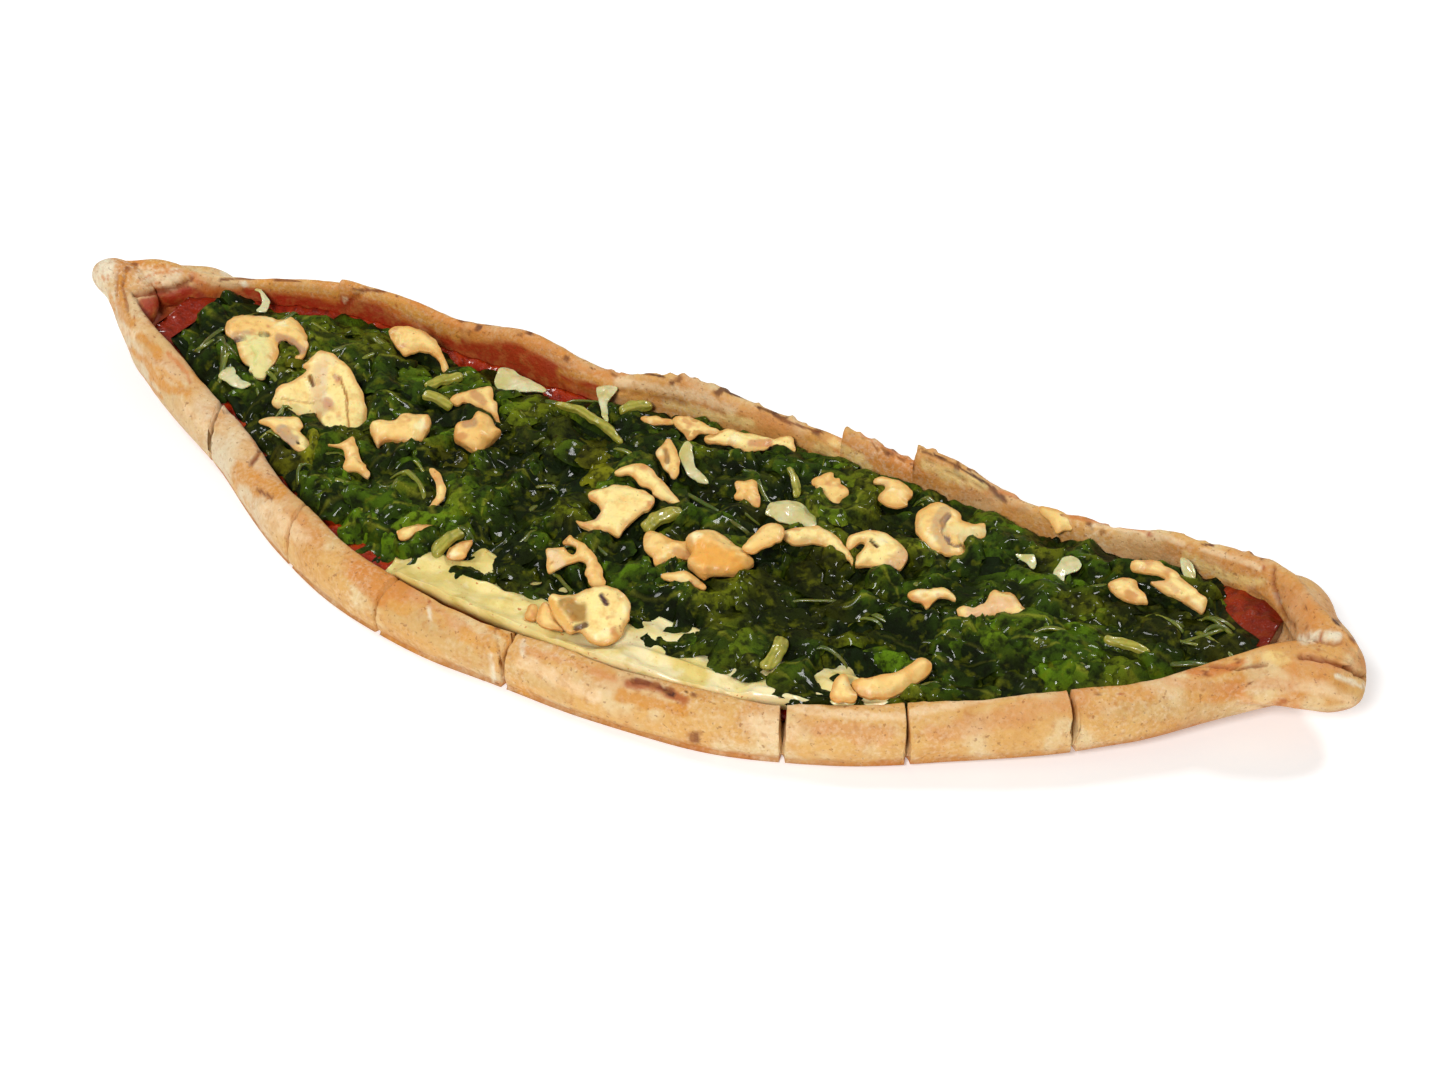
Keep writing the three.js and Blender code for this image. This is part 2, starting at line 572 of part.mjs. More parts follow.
// Fuses leaves to the core wherever they stay clear of the bread and the other fillings.
function withLeaves(core, blocks) {
  const random = seeded(LEAF_SEED);
  let leafy = core;
  for (let i = 0; i < LEAF_TRIES; i += 1) {
    const x = lerp(HEAP_ENDS[0] + 12, HEAP_ENDS[1] - 12, (i + random()) / LEAF_TRIES);
    const y = lerp(heapNear(x), heapFar(x), 0.1 + 0.8 * ((i * 0.618) % 1));
    const sheet = leafGeometry(15 + 9 * random(), 9 + 6 * random(), 6.28 * random());
    const turn = turnOf(["leaf", x, y, 360 * random(), -12 + 24 * random()]);
    const leaf = solidAt(sheet, new THREE.Vector3(x, y, coreTop(x, y) + 0.5), turn);
    if (blocks.every((block) => block.intersect(leaf).volume() === 0)) leafy = leafy.add(leaf);
  }
  // The largest piece of the outcome: a leaf that hangs free, and any hollow sealed in, go.
  return leafy.decompose().sort((a, b) => b.volume() - a.volume())[0];
}

const look = (color, roughness) => new THREE.MeshStandardMaterial({ color, roughness, metalness: 0 });
const LOOKS = {
  crust: look(0xd9a566, 0.7),
  sauce: look(0xa8331a, 0.35),
  cheese: look(0xe9d9a0, 0.45),
  spinach: look(0x23431c, 0.35),
  mushroom: look(0xe2bd84, 0.45),
  onion: look(0xc9c79a, 0.35),
  stalk: look(0x8f9a3a, 0.35),
};
function named(name, geometry) {
  const mesh = new THREE.Mesh(geometry, LOOKS[name.split("_")[0]]);
  mesh.name = name;
  return mesh;
}

const root = new THREE.Group();
const crust = bread();
const sauceGeometry = sauce();
const cheeseGeometry = cheese(0);
const core = heap().subtract(solidOf(cheese(GAP)));
const dish = [crust, solidOf(sauceGeometry), solidOf(cheeseGeometry)];
const toppings = layToppings([...dish, core]);
const spinach = withLeaves(core, [...dish, ...toppings.map(({ solid }) => solid)]);
root.add(named("crust", tidied(geometryOf(crust))));
root.add(named("sauce", sauceGeometry));
root.add(named("cheese", cheeseGeometry));
root.add(named("spinach", tidied(geometryOf(spinach))));
for (const { name, row, position } of toppings) {
  const mesh = named(name, toppingGeometry(row));
  mesh.position.copy(position);
  mesh.quaternion.copy(turnOf(row));
  root.add(mesh);
}
export default root;
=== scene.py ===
"""Looks of a baked boat-shaped flatbread with spinach, mushrooms and cheese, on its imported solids.

Shapes are worked out in millimetres in the frame of the solids, and made in metres. X runs along
the boat, and -Y is the side that bulges towards the camera.
"""

import bpy
import numpy as np
from mathutils import Matrix, Vector


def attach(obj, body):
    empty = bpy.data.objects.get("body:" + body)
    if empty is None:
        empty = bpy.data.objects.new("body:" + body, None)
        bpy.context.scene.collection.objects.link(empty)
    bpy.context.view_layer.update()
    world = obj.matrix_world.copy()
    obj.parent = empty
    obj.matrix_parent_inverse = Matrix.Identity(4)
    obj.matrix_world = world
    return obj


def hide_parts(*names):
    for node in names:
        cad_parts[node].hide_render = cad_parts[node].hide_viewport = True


# Bread, with the sizes of its solid
TIP_X = 225
FLAT_HALF = 60
TIP_LIFT = 14
BODY_ENDS = (-217, 219)
HOLLOW_ENDS = (-204, 206)
HOLLOW_HALF = 2.4
BASE = 5
LIP_SHARE = 0.72
FAR_PROFILE = [(0.28, 0.94), (0.55, 1), (0.85, 0.93)]  # shares of the far rim's width and height
NEAR_PROFILE = [(0.88, 0.97), (0.62, 1), (0.26, 0.9)]
OUTLINE = [  # x, near wall, far wall
    (-217, 22, 31), (-206, 12, 41), (-190, -1, 45), (-168, -13, 54), (-140, -27, 64),
    (-100, -52, 67), (-55, -68, 66), (0, -73, 70), (50, -71, 70), (90, -61, 66), (130, -41, 64),
    (168, -17, 64), (190, 3, 58), (204, 14, 45), (219, 19, 33),
]
RIM = [  # x, near height, far height, near width, far width
    (-217, 16, 16, 5, 5), (-200, 18, 18, 10, 12), (-180, 18, 18, 12, 7), (-140, 16, 17, 14, 6),
    (-80, 16, 18, 14, 9), (0, 15, 16, 12, 9), (80, 16, 17, 12, 8), (140, 17, 16, 13, 7),
    (185, 18, 18, 14, 11), (204, 18, 19, 15, 13), (219, 15, 15, 7, 7),
]
NEAR_CUTS = [(-143, -6), (-94, -1), (-53, 2), (-6, -1), (82, -6), (115, -7), (156, -8)]
CUT_HALF = 0.9
SLIDE_REACH = 14
CUT_DEPTH = 0.78
FAR_FLAPS = [(-147, 1.5, 36), (39, 5.5, 23), (65, 6, 34)]
FAR_HUMPS = [
    (-217, 0), (-176, 0.5), (-160, 2.5), (-134, 3.5), (-108, 2), (-96, 3.5), (-74, 8), (-46, 2.5),
    (-18, 7.5), (6, 5), (32, 2), (60, 1), (80, 3), (100, 0.8), (126, 0.6), (150, 4.5), (160, 2.5),
    (186, 2), (204, 0.5), (219, 0),
]
ROLLS = [  # points of x, y, z, radius
    [(-196, 14, 19, 5), (-205, 21, 21, 7.5), (-214, 26, 23.5, 7.5), (-225, 28, 24.5, 6)],
    [(-180, 46, 20, 3.5), (-191, 43, 20.5, 5.5), (-202, 34, 21, 6.5), (-211, 28, 22, 6)],
    [(176, 57, 19, 4), (194, 51, 22, 7), (204, 39, 22.5, 7.5), (214, 29, 21.5, 8), (223, 21, 19.5, 5.5)],
    [(188, 6, 17, 4), (202, 16, 19, 7), (214, 22, 18, 8), (224, 23, 18, 5.5)],
]
ROLL_TWISTS = [6, 2, 2, 2]
ROLL_SIDES = 40
ROLL_STEPS = 44
# Points in each stretch of a ring, from one control point to the next
RING_COUNTS = [2, 2, 2, 4, 6, 6, 7, 6, 5, 5, 5, 2, 3, 2, 5, 5, 5, 6, 7, 7, 5, 4]

# Filling
GAP = 0.35
SAUCE_ENDS = (-192, 193)
SAUCE_TOP = 9.2
SAUCE_RISE = 1.8
SAUCE_CELLS = (330, 100)
CHEESE_ENDS = (-60, 128)
CHEESE_DEPTH = 2.6
CHEESE_WIDTH = 26
CHEESE_CELLS = (230, 40)
HEAP_ENDS = (-181, 190)
HEAP_EDGE = 12.5
HEAP_CROWN = 17.5
HEAP_CELLS = (400, 96)
SINK = 1.6
LEAN_TOWARDS = np.radians(-62)
TOWARDS = np.array([np.cos(LEAN_TOWARDS), np.sin(LEAN_TOWARDS)])
LEAF_COUNT = 600
LEAF_CELLS = (15, 11)
LEAF_LENGTHS = (12, 26)
LEAF_WIDTHS = (8, 15)
STEM_COUNT = 90
STEM_LENGTHS = (7, 20)
STEM_RADII = (0.5, 1.1)
STEM_STEPS = 12
STEM_SIDES = 8
LEAF_GREENS = [
    (44, 62, 4), (34, 50, 4), (58, 80, 6), (40, 58, 6), (52, 68, 6), (70, 90, 10), (100, 100, 12),
]
GREEN_SHARES = [0.24, 0.2, 0.14, 0.18, 0.14, 0.06, 0.04]

# Toppings: x, y, heading, lean, length, width, thickness
MUSHROOMS = [
    (-154, 25, -74, 10, 29, 15, 4), (-115, 12, -146, 30, 29, 17, 4.5), (-121, -15, -48, 20, 18, 11, 3.5),
    (-95, -17, 60, 10, 12, 9, 3.5), (-88, 4, 35, 12, 20, 12, 6), (-66, 14, 10, 15, 12, 12, 8),
    (-74, 29, -6, 15, 15, 8, 4), (-108, 43, -17, 12, 20, 9, 4), (-57, -38, 64, 10, 14, 5, 3),
    (-38, -39, 30, 10, 9, 7, 3), (-62, -17, -56, 20, 18, 6, 3.5), (-8, 0, 20, 6, 22, 17, 4.5),
    (-3, 17, -8, 20, 25, 8, 4), (-8, 31, -62, 20, 14, 7, 3.5), (-3, -26, -152, 12, 20, 11, 3.5),
    (18, -43, 169, 20, 17, 11, 5), (3, -53, -70, 15, 13, 6, 4), (-9, -48, 40, 10, 9, 8, 4),
    (15, -12, 10, 8, 13, 11, 3.5), (32, -5, 16, 8, 20, 14, 8), (28, -21, 16, 15, 15, 5, 3),
    (23, 27, -50, 15, 10, 8, 3.5), (47, 43, 10, 12, 13, 11, 3.5), (64, 47, 164, 10, 14, 9, 3.5),
    (86, 38, 33, 8, 22, 12, 4), (77, 18, 174, 12, 17, 11, 5), (56, 14, 0, 12, 18, 8, 4),
    (42, 9, 64, 10, 13, 6, 3.5), (96, 3, 20, 10, 15, 8, 3.5), (116, 9, 35, 8, 20, 9, 3),
    (146, 28, -10, 12, 11, 9, 4), (161, 37, -11, 12, 27, 8, 4), (103, -32, 46, 20, 25, 8, 5),
    (91, -43, -62, 15, 12, 7, 4.5), (-7, 50, 3, 10, 19, 8, 3), (18, 51, 3, 10, 19, 8, 3),
    (-19, 44, 10, 10, 12, 4, 2.5), (114, 52, 30, 10, 12, 5, 3),
]
ONIONS = [
    (-149, -1, -20, 8, 11, 7, 2.5), (-168, 36, -60, 10, 8, 3.5, 2), (-70, 45, 0, 12, 17, 8, 2.5),
    (-46, 47, 110, 0, 12, 5, 2.5), (9, 34, -75, 15, 15, 5, 2.5), (42, 24, 20, 8, 17, 9, 2.5),
    (163, 49, -40, 10, 8, 5, 2.5), (128, 33, 10, 8, 9, 7, 2.5), (114, 35, 0, 8, 7, 5, 2),
]
STALKS = [
    (-91, 33, 50, 8, 13, 3.6, 3), (-87, 23, 0, 8, 11, 3.6, 3), (-46, -37, 75, 8, 12, 4.4, 3),
    (-38, 36, -8, 8, 28, 3, 2.6), (-30, 52, 45, 8, 11, 4, 3), (8, 1, 71, 8, 15, 5, 3.4),
    (34, 38, -50, 8, 14, 2.4, 2), (66, -38, -82, 8, 14, 4, 3), (158, 6, 10, 8, 14, 3, 2.4),
]
TOPPINGS = MUSHROOMS + ONIONS + STALKS
OUTLINE_STEPS = 4  # points of an outline's smooth curve for each traced point
VOXEL = 0.5  # size of the toppings' mesh
DOMED_FROM = 5  # thicker toppings are domed, and the others flat

# Enlarged views of the photograph that the outlines and dabs below were placed on, each with the pixel
# at its corner and its enlargement
VIEWS = {
    "left_end": (80, 235, 3.92), "slices": (180, 300, 6.272), "left_heap": (370, 350, 5.807),
    "middle": (560, 360, 5.227), "cheese": (380, 540, 4.9), "curds": (530, 520, 10.453),
    "right_heap": (780, 430, 5.227), "far_right": (900, 400, 4.61), "right_end": (1080, 480, 4.9),
}
TRACED = {  # topping: view and outline
    "mushroom_1": ("slices", [
        (332, 268), (290, 225), (285, 170), (330, 115), (400, 90), (480, 90), (560, 98), (615, 125),
        (690, 108), (740, 145), (790, 215), (805, 280), (790, 350), (750, 382), (715, 365), (752, 335),
        (735, 300), (690, 275), (620, 270), (622, 330), (590, 400), (565, 440), (530, 500), (475, 492),
        (465, 468), (430, 455), (435, 425), (395, 400), (365, 330), (350, 272)]),
    "mushroom_2": ("slices", [
        (858, 738), (800, 735), (700, 715), (585, 665), (590, 610), (625, 545), (700, 515), (770, 470),
        (800, 435), (765, 430), (780, 405), (830, 365), (865, 325), (920, 322), (985, 350), (1050, 420),
        (1100, 500), (1150, 600), (1170, 690), (1160, 790), (1110, 860), (1030, 895), (950, 890),
        (900, 850), (862, 790)]),
    "mushroom_3": ("slices", [
        (490, 770), (560, 740), (650, 728), (740, 735), (775, 790), (745, 820), (810, 880), (805, 960),
        (770, 965), (700, 930), (630, 870), (560, 800)]),
    "mushroom_4": ("slices", [
        (915, 905), (1000, 905), (1080, 870), (1110, 930), (1140, 1010), (1190, 1090), (1180, 1130),
        (1110, 1080), (1030, 1070), (1035, 980), (1010, 930)]),
    "mushroom_5": ("left_heap", [
        (5, 440), (60, 420), (130, 415), (190, 380), (260, 375), (330, 378), (350, 400), (345, 470),
        (300, 520), (240, 550), (150, 540), (80, 545), (40, 570), (15, 520)]),
    "mushroom_6": ("left_heap", [
        (495, 460), (530, 430), (590, 425), (605, 385), (635, 365), (690, 385), (730, 440), (760, 475),
        (740, 500), (690, 540), (640, 590), (600, 590), (530, 550), (490, 520)]),
    "mushroom_7": ("left_heap", [
        (460, 290), (500, 250), (540, 240), (640, 212), (710, 222), (715, 280), (740, 310), (745, 380),
        (772, 440), (750, 450), (700, 370), (650, 335), (600, 325), (540, 300), (510, 320)]),
    "mushroom_8": ("left_end", [
        (1210, 375), (1250, 362), (1320, 375), (1390, 410), (1420, 470), (1445, 520), (1425, 540),
        (1395, 490), (1330, 460), (1280, 480), (1240, 440)]),
    "mushroom_9": ("left_heap", [
        (150, 1050), (210, 1025), (300, 1000), (390, 1010), (330, 1040), (270, 1055), (230, 1090),
        (180, 1100)]),
    "mushroom_10": ("left_heap", [
        (460, 1140), (520, 1110), (585, 1095), (595, 1120), (565, 1160), (560, 1200), (500, 1220),
        (440, 1190)]),
    "mushroom_11": ("left_heap", [
        (340, 708), (372, 698), (415, 750), (440, 800), (432, 870), (395, 910), (340, 955), (250, 980),
        (215, 1003), (222, 970), (325, 930), (375, 880), (390, 800)]),
    "mushroom_12": ("middle", [
        (150, 700), (220, 670), (290, 650), (400, 675), (470, 700), (500, 745), (470, 790), (420, 810),
        (345, 870), (310, 920), (260, 905), (200, 900), (150, 900), (80, 850), (160, 860), (205, 820),
        (200, 760), (160, 740)]),
    "mushroom_13": ("middle", [
        (280, 590), (330, 560), (410, 550), (470, 570), (530, 640), (600, 710), (635, 755), (590, 760),
        (530, 740), (485, 715), (470, 680), (420, 660), (380, 615), (320, 605)]),
    "mushroom_14": ("middle", [
        (520, 520), (500, 480), (540, 430), (570, 408), (600, 440), (625, 520), (625, 590), (600, 635),
        (560, 590), (540, 560)]),
    "mushroom_15": ("curds", [
        (175, 300), (260, 290), (350, 290), (400, 340), (450, 360), (480, 330), (470, 290), (400, 255),
        (330, 235), (370, 165), (420, 140), (470, 190), (560, 245), (650, 340), (700, 430), (760, 540),
        (780, 690), (700, 700), (640, 700), (600, 620), (575, 560), (600, 500), (570, 440), (500, 430),
        (380, 470), (300, 520), (190, 555), (180, 400)]),
    "mushroom_16": ("curds", [
        (570, 745), (660, 700), (760, 700), (860, 710), (950, 760), (1020, 840), (1050, 920), (1045, 1040),
        (1000, 1130), (950, 1220), (850, 1290), (740, 1310), (640, 1290), (560, 1220), (520, 1175),
        (420, 1190), (340, 1130), (250, 1000), (195, 850), (225, 805), (330, 800), (480, 775)]),
    "mushroom_17": ("curds", [
        (90, 930), (140, 870), (190, 850), (230, 950), (300, 1080), (350, 1140), (260, 1130), (190, 1130),
        (120, 1110), (70, 1040)]),
    "mushroom_18": ("curds", [(-30, 900), (40, 860), (90, 930), (70, 1040), (20, 1060), (-50, 1030)]),
    "mushroom_19": ("middle", [
        (440, 905), (500, 895), (560, 940), (620, 960), (680, 965), (680, 1040), (650, 1050), (560, 1060),
        (500, 1085), (480, 1040), (440, 990)]),
    "mushroom_20": ("middle", [
        (660, 950), (700, 920), (790, 908), (860, 935), (940, 990), (1015, 1050), (1000, 1070), (950, 1100),
        (900, 1120), (800, 1120), (750, 1140), (700, 1100), (665, 1070), (685, 1020)]),
    "mushroom_21": ("middle", [
        (525, 1140), (570, 1110), (650, 1105), (720, 1140), (765, 1185), (740, 1200), (680, 1175),
        (600, 1165)]),
    "mushroom_22": ("middle", [
        (915, 645), (960, 630), (1025, 635), (1035, 690), (1045, 760), (1010, 770), (960, 740), (910, 730),
        (925, 690)]),
    "mushroom_23": ("right_heap", [
        (165, 270), (190, 240), (240, 225), (278, 228), (275, 260), (310, 250), (320, 290), (350, 320),
        (358, 350), (320, 375), (290, 400), (250, 390), (225, 350), (190, 320)]),
    "mushroom_24": ("right_heap", [
        (495, 255), (540, 250), (600, 265), (660, 290), (690, 320), (692, 350), (665, 380), (665, 405),
        (620, 418), (570, 405), (520, 370), (515, 340), (550, 315), (545, 290), (500, 280)]),
    "mushroom_25": ("right_heap", [
        (705, 480), (725, 430), (780, 395), (840, 390), (900, 410), (945, 445), (948, 475), (960, 490),
        (1010, 500), (1070, 490), (1078, 520), (1070, 560), (1010, 575), (960, 570), (975, 610), (960, 650),
        (900, 670), (860, 665), (850, 650), (800, 640), (750, 600), (712, 540)]),
    "mushroom_26": ("right_heap", [
        (345, 600), (360, 555), (440, 537), (530, 540), (600, 575), (645, 615), (668, 660), (655, 705),
        (620, 738), (550, 730), (470, 712), (390, 712), (400, 660), (440, 610), (430, 590), (370, 625)]),
    "mushroom_27": ("right_heap", [
        (0, 540), (60, 520), (150, 510), (220, 510), (280, 540), (330, 600), (370, 660), (385, 715),
        (350, 690), (280, 640), (220, 600), (150, 590), (60, 600)]),
    "mushroom_28": ("middle", [
        (950, 980), (1000, 930), (1060, 880), (1140, 860), (1170, 900), (1150, 960), (1080, 985),
        (1020, 1010), (990, 1010)]),
    "mushroom_29": ("right_heap", [
        (665, 870), (710, 845), (780, 840), (860, 840), (910, 870), (920, 905), (880, 890), (840, 890),
        (800, 915), (760, 945), (735, 915), (690, 900)]),
    "mushroom_30": ("right_heap", [
        (920, 960), (960, 930), (1020, 935), (1080, 900), (1100, 850), (1150, 835), (1220, 850),
        (1260, 900), (1300, 945), (1240, 975), (1180, 960), (1100, 975), (1040, 990), (965, 1005)]),
    "mushroom_31": ("right_end", [
        (140, 500), (190, 485), (270, 490), (290, 540), (335, 605), (300, 610), (240, 600), (180, 580),
        (150, 540)]),
    "mushroom_32": ("right_end", [
        (245, 410), (300, 398), (370, 405), (440, 440), (500, 490), (560, 550), (625, 600), (605, 650),
        (560, 640), (500, 600), (430, 570), (370, 520), (340, 500), (430, 490), (360, 465), (300, 450),
        (260, 440)]),
    "mushroom_33": ("right_heap", [
        (370, 1325), (440, 1310), (560, 1285), (660, 1250), (720, 1210), (770, 1207), (795, 1245),
        (770, 1290), (700, 1340), (600, 1390), (500, 1410), (420, 1395), (380, 1360)]),
    "mushroom_34": ("right_heap", [
        (275, 1360), (290, 1310), (330, 1275), (355, 1300), (375, 1350), (405, 1400), (380, 1430),
        (300, 1430), (260, 1400)]),
    "mushroom_35": ("middle", [
        (590, 320), (620, 290), (700, 300), (780, 350), (830, 380), (800, 400), (740, 375), (700, 400),
        (670, 430), (655, 385), (605, 350)]),
    "mushroom_36": ("middle", [
        (760, 390), (830, 365), (900, 360), (960, 380), (1040, 390), (1110, 410), (1190, 395), (1230, 440),
        (1225, 490), (1180, 470), (1120, 450), (1080, 480), (1020, 480), (960, 490), (900, 460), (860, 440),
        (760, 420)]),
    "mushroom_37": ("middle", [(425, 310), (480, 290), (580, 312), (592, 335), (540, 332), (460, 335)]),
    "mushroom_38": ("far_right", [
        (640, 500), (690, 510), (750, 520), (790, 560), (795, 600), (760, 600), (720, 620), (705, 590),
        (680, 555), (645, 530)]),
    "onion_1": ("slices", [
        (240, 450), (320, 405), (350, 440), (360, 480), (450, 530), (400, 550), (310, 530), (260, 490)]),
    "onion_2": ("left_end", [
        (680, 220), (715, 222), (742, 260), (735, 305), (690, 305), (710, 280), (705, 240)]),
    "onion_3": ("left_heap", [
        (730, 160), (760, 100), (830, 110), (880, 150), (960, 190), (1030, 245), (950, 255), (860, 255),
        (800, 280), (740, 220)]),
    "onion_4": ("middle", [
        (190, 150), (240, 142), (300, 150), (280, 190), (245, 230), (255, 310), (225, 300), (200, 210)]),
    "onion_5": ("middle", [
        (625, 490), (660, 430), (695, 470), (700, 540), (740, 590), (780, 640), (720, 640), (670, 590),
        (640, 540)]),
    "onion_6": ("middle", [
        (1070, 790), (1120, 745), (1200, 738), (1260, 750), (1340, 820), (1335, 900), (1300, 910),
        (1250, 870), (1150, 850), (1100, 820)]),
    "onion_7": ("right_end", [(490, 375), (530, 385), (575, 450), (540, 500), (500, 440)]),
    "onion_8": ("right_heap", [
        (1420, 760), (1450, 720), (1490, 665), (1568, 690), (1560, 740), (1500, 760), (1480, 810),
        (1430, 790)]),
    "onion_9": ("right_heap", [(1230, 650), (1290, 645), (1338, 655), (1330, 720), (1290, 690)]),
}
# Dabs on the toppings and on the bread, and folds in the bread
MARKS = {  # topping: colour, strength, half width, depth in millimetres and points of each dab
    "mushroom_1": [
        ((40, 22, 14), 1, 14, 1.2, (505, 212), (548, 214)),
        ((60, 40, 30), 1, 14, 0.8, (350, 250), (400, 238)),
        ((84, 60, 58), 1, 20, 0.7, (640, 283), (700, 290), (735, 318)),
        ((176, 140, 116), 0.6, 30, 0, (345, 225), (420, 215)),
        ((170, 132, 108), 0.7, 30, 0, (620, 235), (700, 258), (760, 320)),
        ((230, 222, 152), 0.85, 95, 0, (480, 290), (500, 430)),
        ((206, 206, 128), 0.7, 14, 0.3, (450, 290), (480, 330), (470, 400)),
    ],
    "mushroom_2": [
        ((112, 78, 40), 1, 14, 1.0, (815, 480), (835, 530)),
        ((178, 122, 66), 0.8, 8, 0.7, (1000, 480), (1045, 600), (1052, 720), (1058, 790)),
        ((196, 146, 116), 0.8, 16, 0.2, (968, 475), (985, 490)),
        ((198, 148, 122), 0.7, 22, 0.1, (925, 625), (945, 650)),
        ((208, 168, 138), 0.5, 50, 0, (890, 400), (870, 560), (880, 680)),
        ((246, 222, 164), 0.6, 40, 0, (860, 360), (950, 380)),
        ((206, 164, 100), 0.7, 7, 0.3, (640, 620), (760, 640), (840, 650)),
    ],
    "mushroom_3": [
        ((178, 148, 122), 0.8, 45, 0, (640, 820), (700, 880)),
        ((50, 34, 28), 1, 9, 0.6, (738, 892), (742, 896)),
    ],
    "mushroom_7": [
        ((190, 130, 84), 0.7, 26, 0, (600, 250), (660, 300)),
    ],
    "mushroom_6": [
        ((150, 104, 84), 0.6, 26, 0, (560, 430), (600, 420)),
    ],
    "mushroom_12": [
        ((196, 160, 130), 0.7, 30, 0, (140, 800), (180, 810)),
    ],
    "mushroom_14": [
        ((140, 92, 40), 0.8, 16, 0.6, (552, 470), (560, 530)),
    ],
    "mushroom_15": [
        ((140, 84, 40), 0.9, 26, 0.8, (390, 290), (450, 320)),
        ((236, 204, 158), 0.8, 70, 0, (250, 350), (300, 450)),
        ((170, 110, 50), 0.8, 14, 0.2, (215, 450), (235, 440)),
    ],
    "mushroom_16": [
        ((88, 60, 58), 1, 26, 0.7, (745, 780), (800, 870)),
        ((152, 104, 26), 0.85, 110, 0.4, (400, 880), (520, 960)),
        ((226, 172, 82), 0.9, 34, 0, (225, 850), (330, 1010), (420, 1130)),
        ((84, 44, 12), 0.9, 34, 0.4, (480, 1130), (580, 1090)),
        ((190, 126, 66), 0.8, 12, 0, (935, 1125), (940, 1132)),
    ],
    "mushroom_19": [
        ((190, 130, 70), 0.7, 26, 0.2, (610, 1000), (660, 1020)),
    ],
    "mushroom_20": [
        ((234, 164, 62), 0.8, 70, 0, (740, 1010), (900, 1060)),
    ],
    "mushroom_25": [
        ((106, 80, 78), 0.95, 16, 0.6, (880, 445), (852, 475), (858, 530), (880, 570)),
        ((186, 152, 116), 0.6, 30, 0, (860, 420), (815, 480), (830, 560), (870, 610)),
        ((130, 96, 74), 0.9, 9, 0.5, (885, 590), (915, 605), (950, 600)),
        ((236, 216, 152), 0.8, 30, 0, (880, 520), (960, 530), (1060, 530)),
    ],
    "mushroom_26": [
        ((70, 44, 20), 1, 11, 0.8, (475, 575), (505, 605)),
        ((206, 150, 106), 0.6, 40, 0, (580, 700), (640, 660)),
    ],
    "mushroom_30": [
        ((206, 96, 52), 0.8, 22, 0, (950, 900), (1030, 860)),
        ((232, 186, 140), 0.8, 40, 0, (1120, 900), (1200, 900), (1000, 960)),
    ],
    "mushroom_32": [
        ((214, 158, 108), 0.6, 20, 0.3, (370, 495), (430, 500), (470, 540)),
        ((110, 74, 40), 0.8, 9, 0.4, (515, 605), (550, 635)),
    ],
    "mushroom_36": [
        ((196, 116, 76), 0.7, 22, 0.2, (1000, 430), (1090, 430)),
    ],
    "mushroom_35": [
        ((206, 140, 84), 0.7, 14, 0.3, (650, 310), (720, 345)),
    ],
}
GROOVES = {  # view: half width, depth in millimetres and points of each groove
    "left_end": [
        (9, 1.5, (215, 234), (300, 224), (345, 216), (400, 196), (440, 170)),
        (6, 0.8, (560, 690), (640, 700), (690, 770)), (6, 0.9, (660, 900), (720, 830), (740, 790)),
        (6, 0.8, (740, 800), (800, 860)), (7, 0.9, (180, 130), (165, 200), (185, 290)),
        (6, 0.7, (145, 150), (140, 230)), (8, 0.9, (1030, 300), (1080, 240), (1130, 212)),
    ],
    "cheese": [
        (6, 0.7, (1200, 690), (1330, 700), (1430, 745)), (6, 0.6, (560, 430), (585, 560), (590, 660)),
    ],
    "right_end": [
        (12, 2.2, (1080, 865), (1200, 880), (1300, 915), (1400, 965)),
        (9, 1.4, (950, 420), (940, 500), (980, 640), (1050, 730)),
        (9, 1.0, (1090, 760), (1200, 800), (1290, 800)),
        (8, 1.2, (520, 905), (640, 905), (780, 925), (900, 905)),
        (8, 0.9, (600, 500), (760, 540), (880, 570)),
    ],
    "right_heap": [
        (6, 0.9, (200, 130), (330, 190), (430, 240)), (6, 0.8, (760, 160), (900, 225), (1060, 310)),
    ],
    "middle": [
        (7, 0.8, (300, 160), (520, 200), (700, 230), (860, 290)),
        (6, 0.8, (0, 130), (120, 160), (240, 200)),
    ],
}
SHADES = {  # colour and strength of a dab
    "flour": ((236, 226, 196), 0.85), "pale": ((236, 202, 154), 0.75), "cream": ((238, 206, 130), 0.75),
    "tan": ((206, 170, 110), 0.6), "gold": ((216, 152, 62), 0.7), "amber": ((208, 136, 34), 0.8),
    "toast": ((206, 124, 62), 0.8), "blush": ((210, 142, 88), 0.5), "orange": ((200, 106, 30), 0.75),
    "sauced": ((168, 44, 12), 0.85), "rust": ((164, 72, 24), 0.85), "brown": ((112, 50, 20), 0.85),
    "burnt": ((66, 24, 10), 0.95),
}
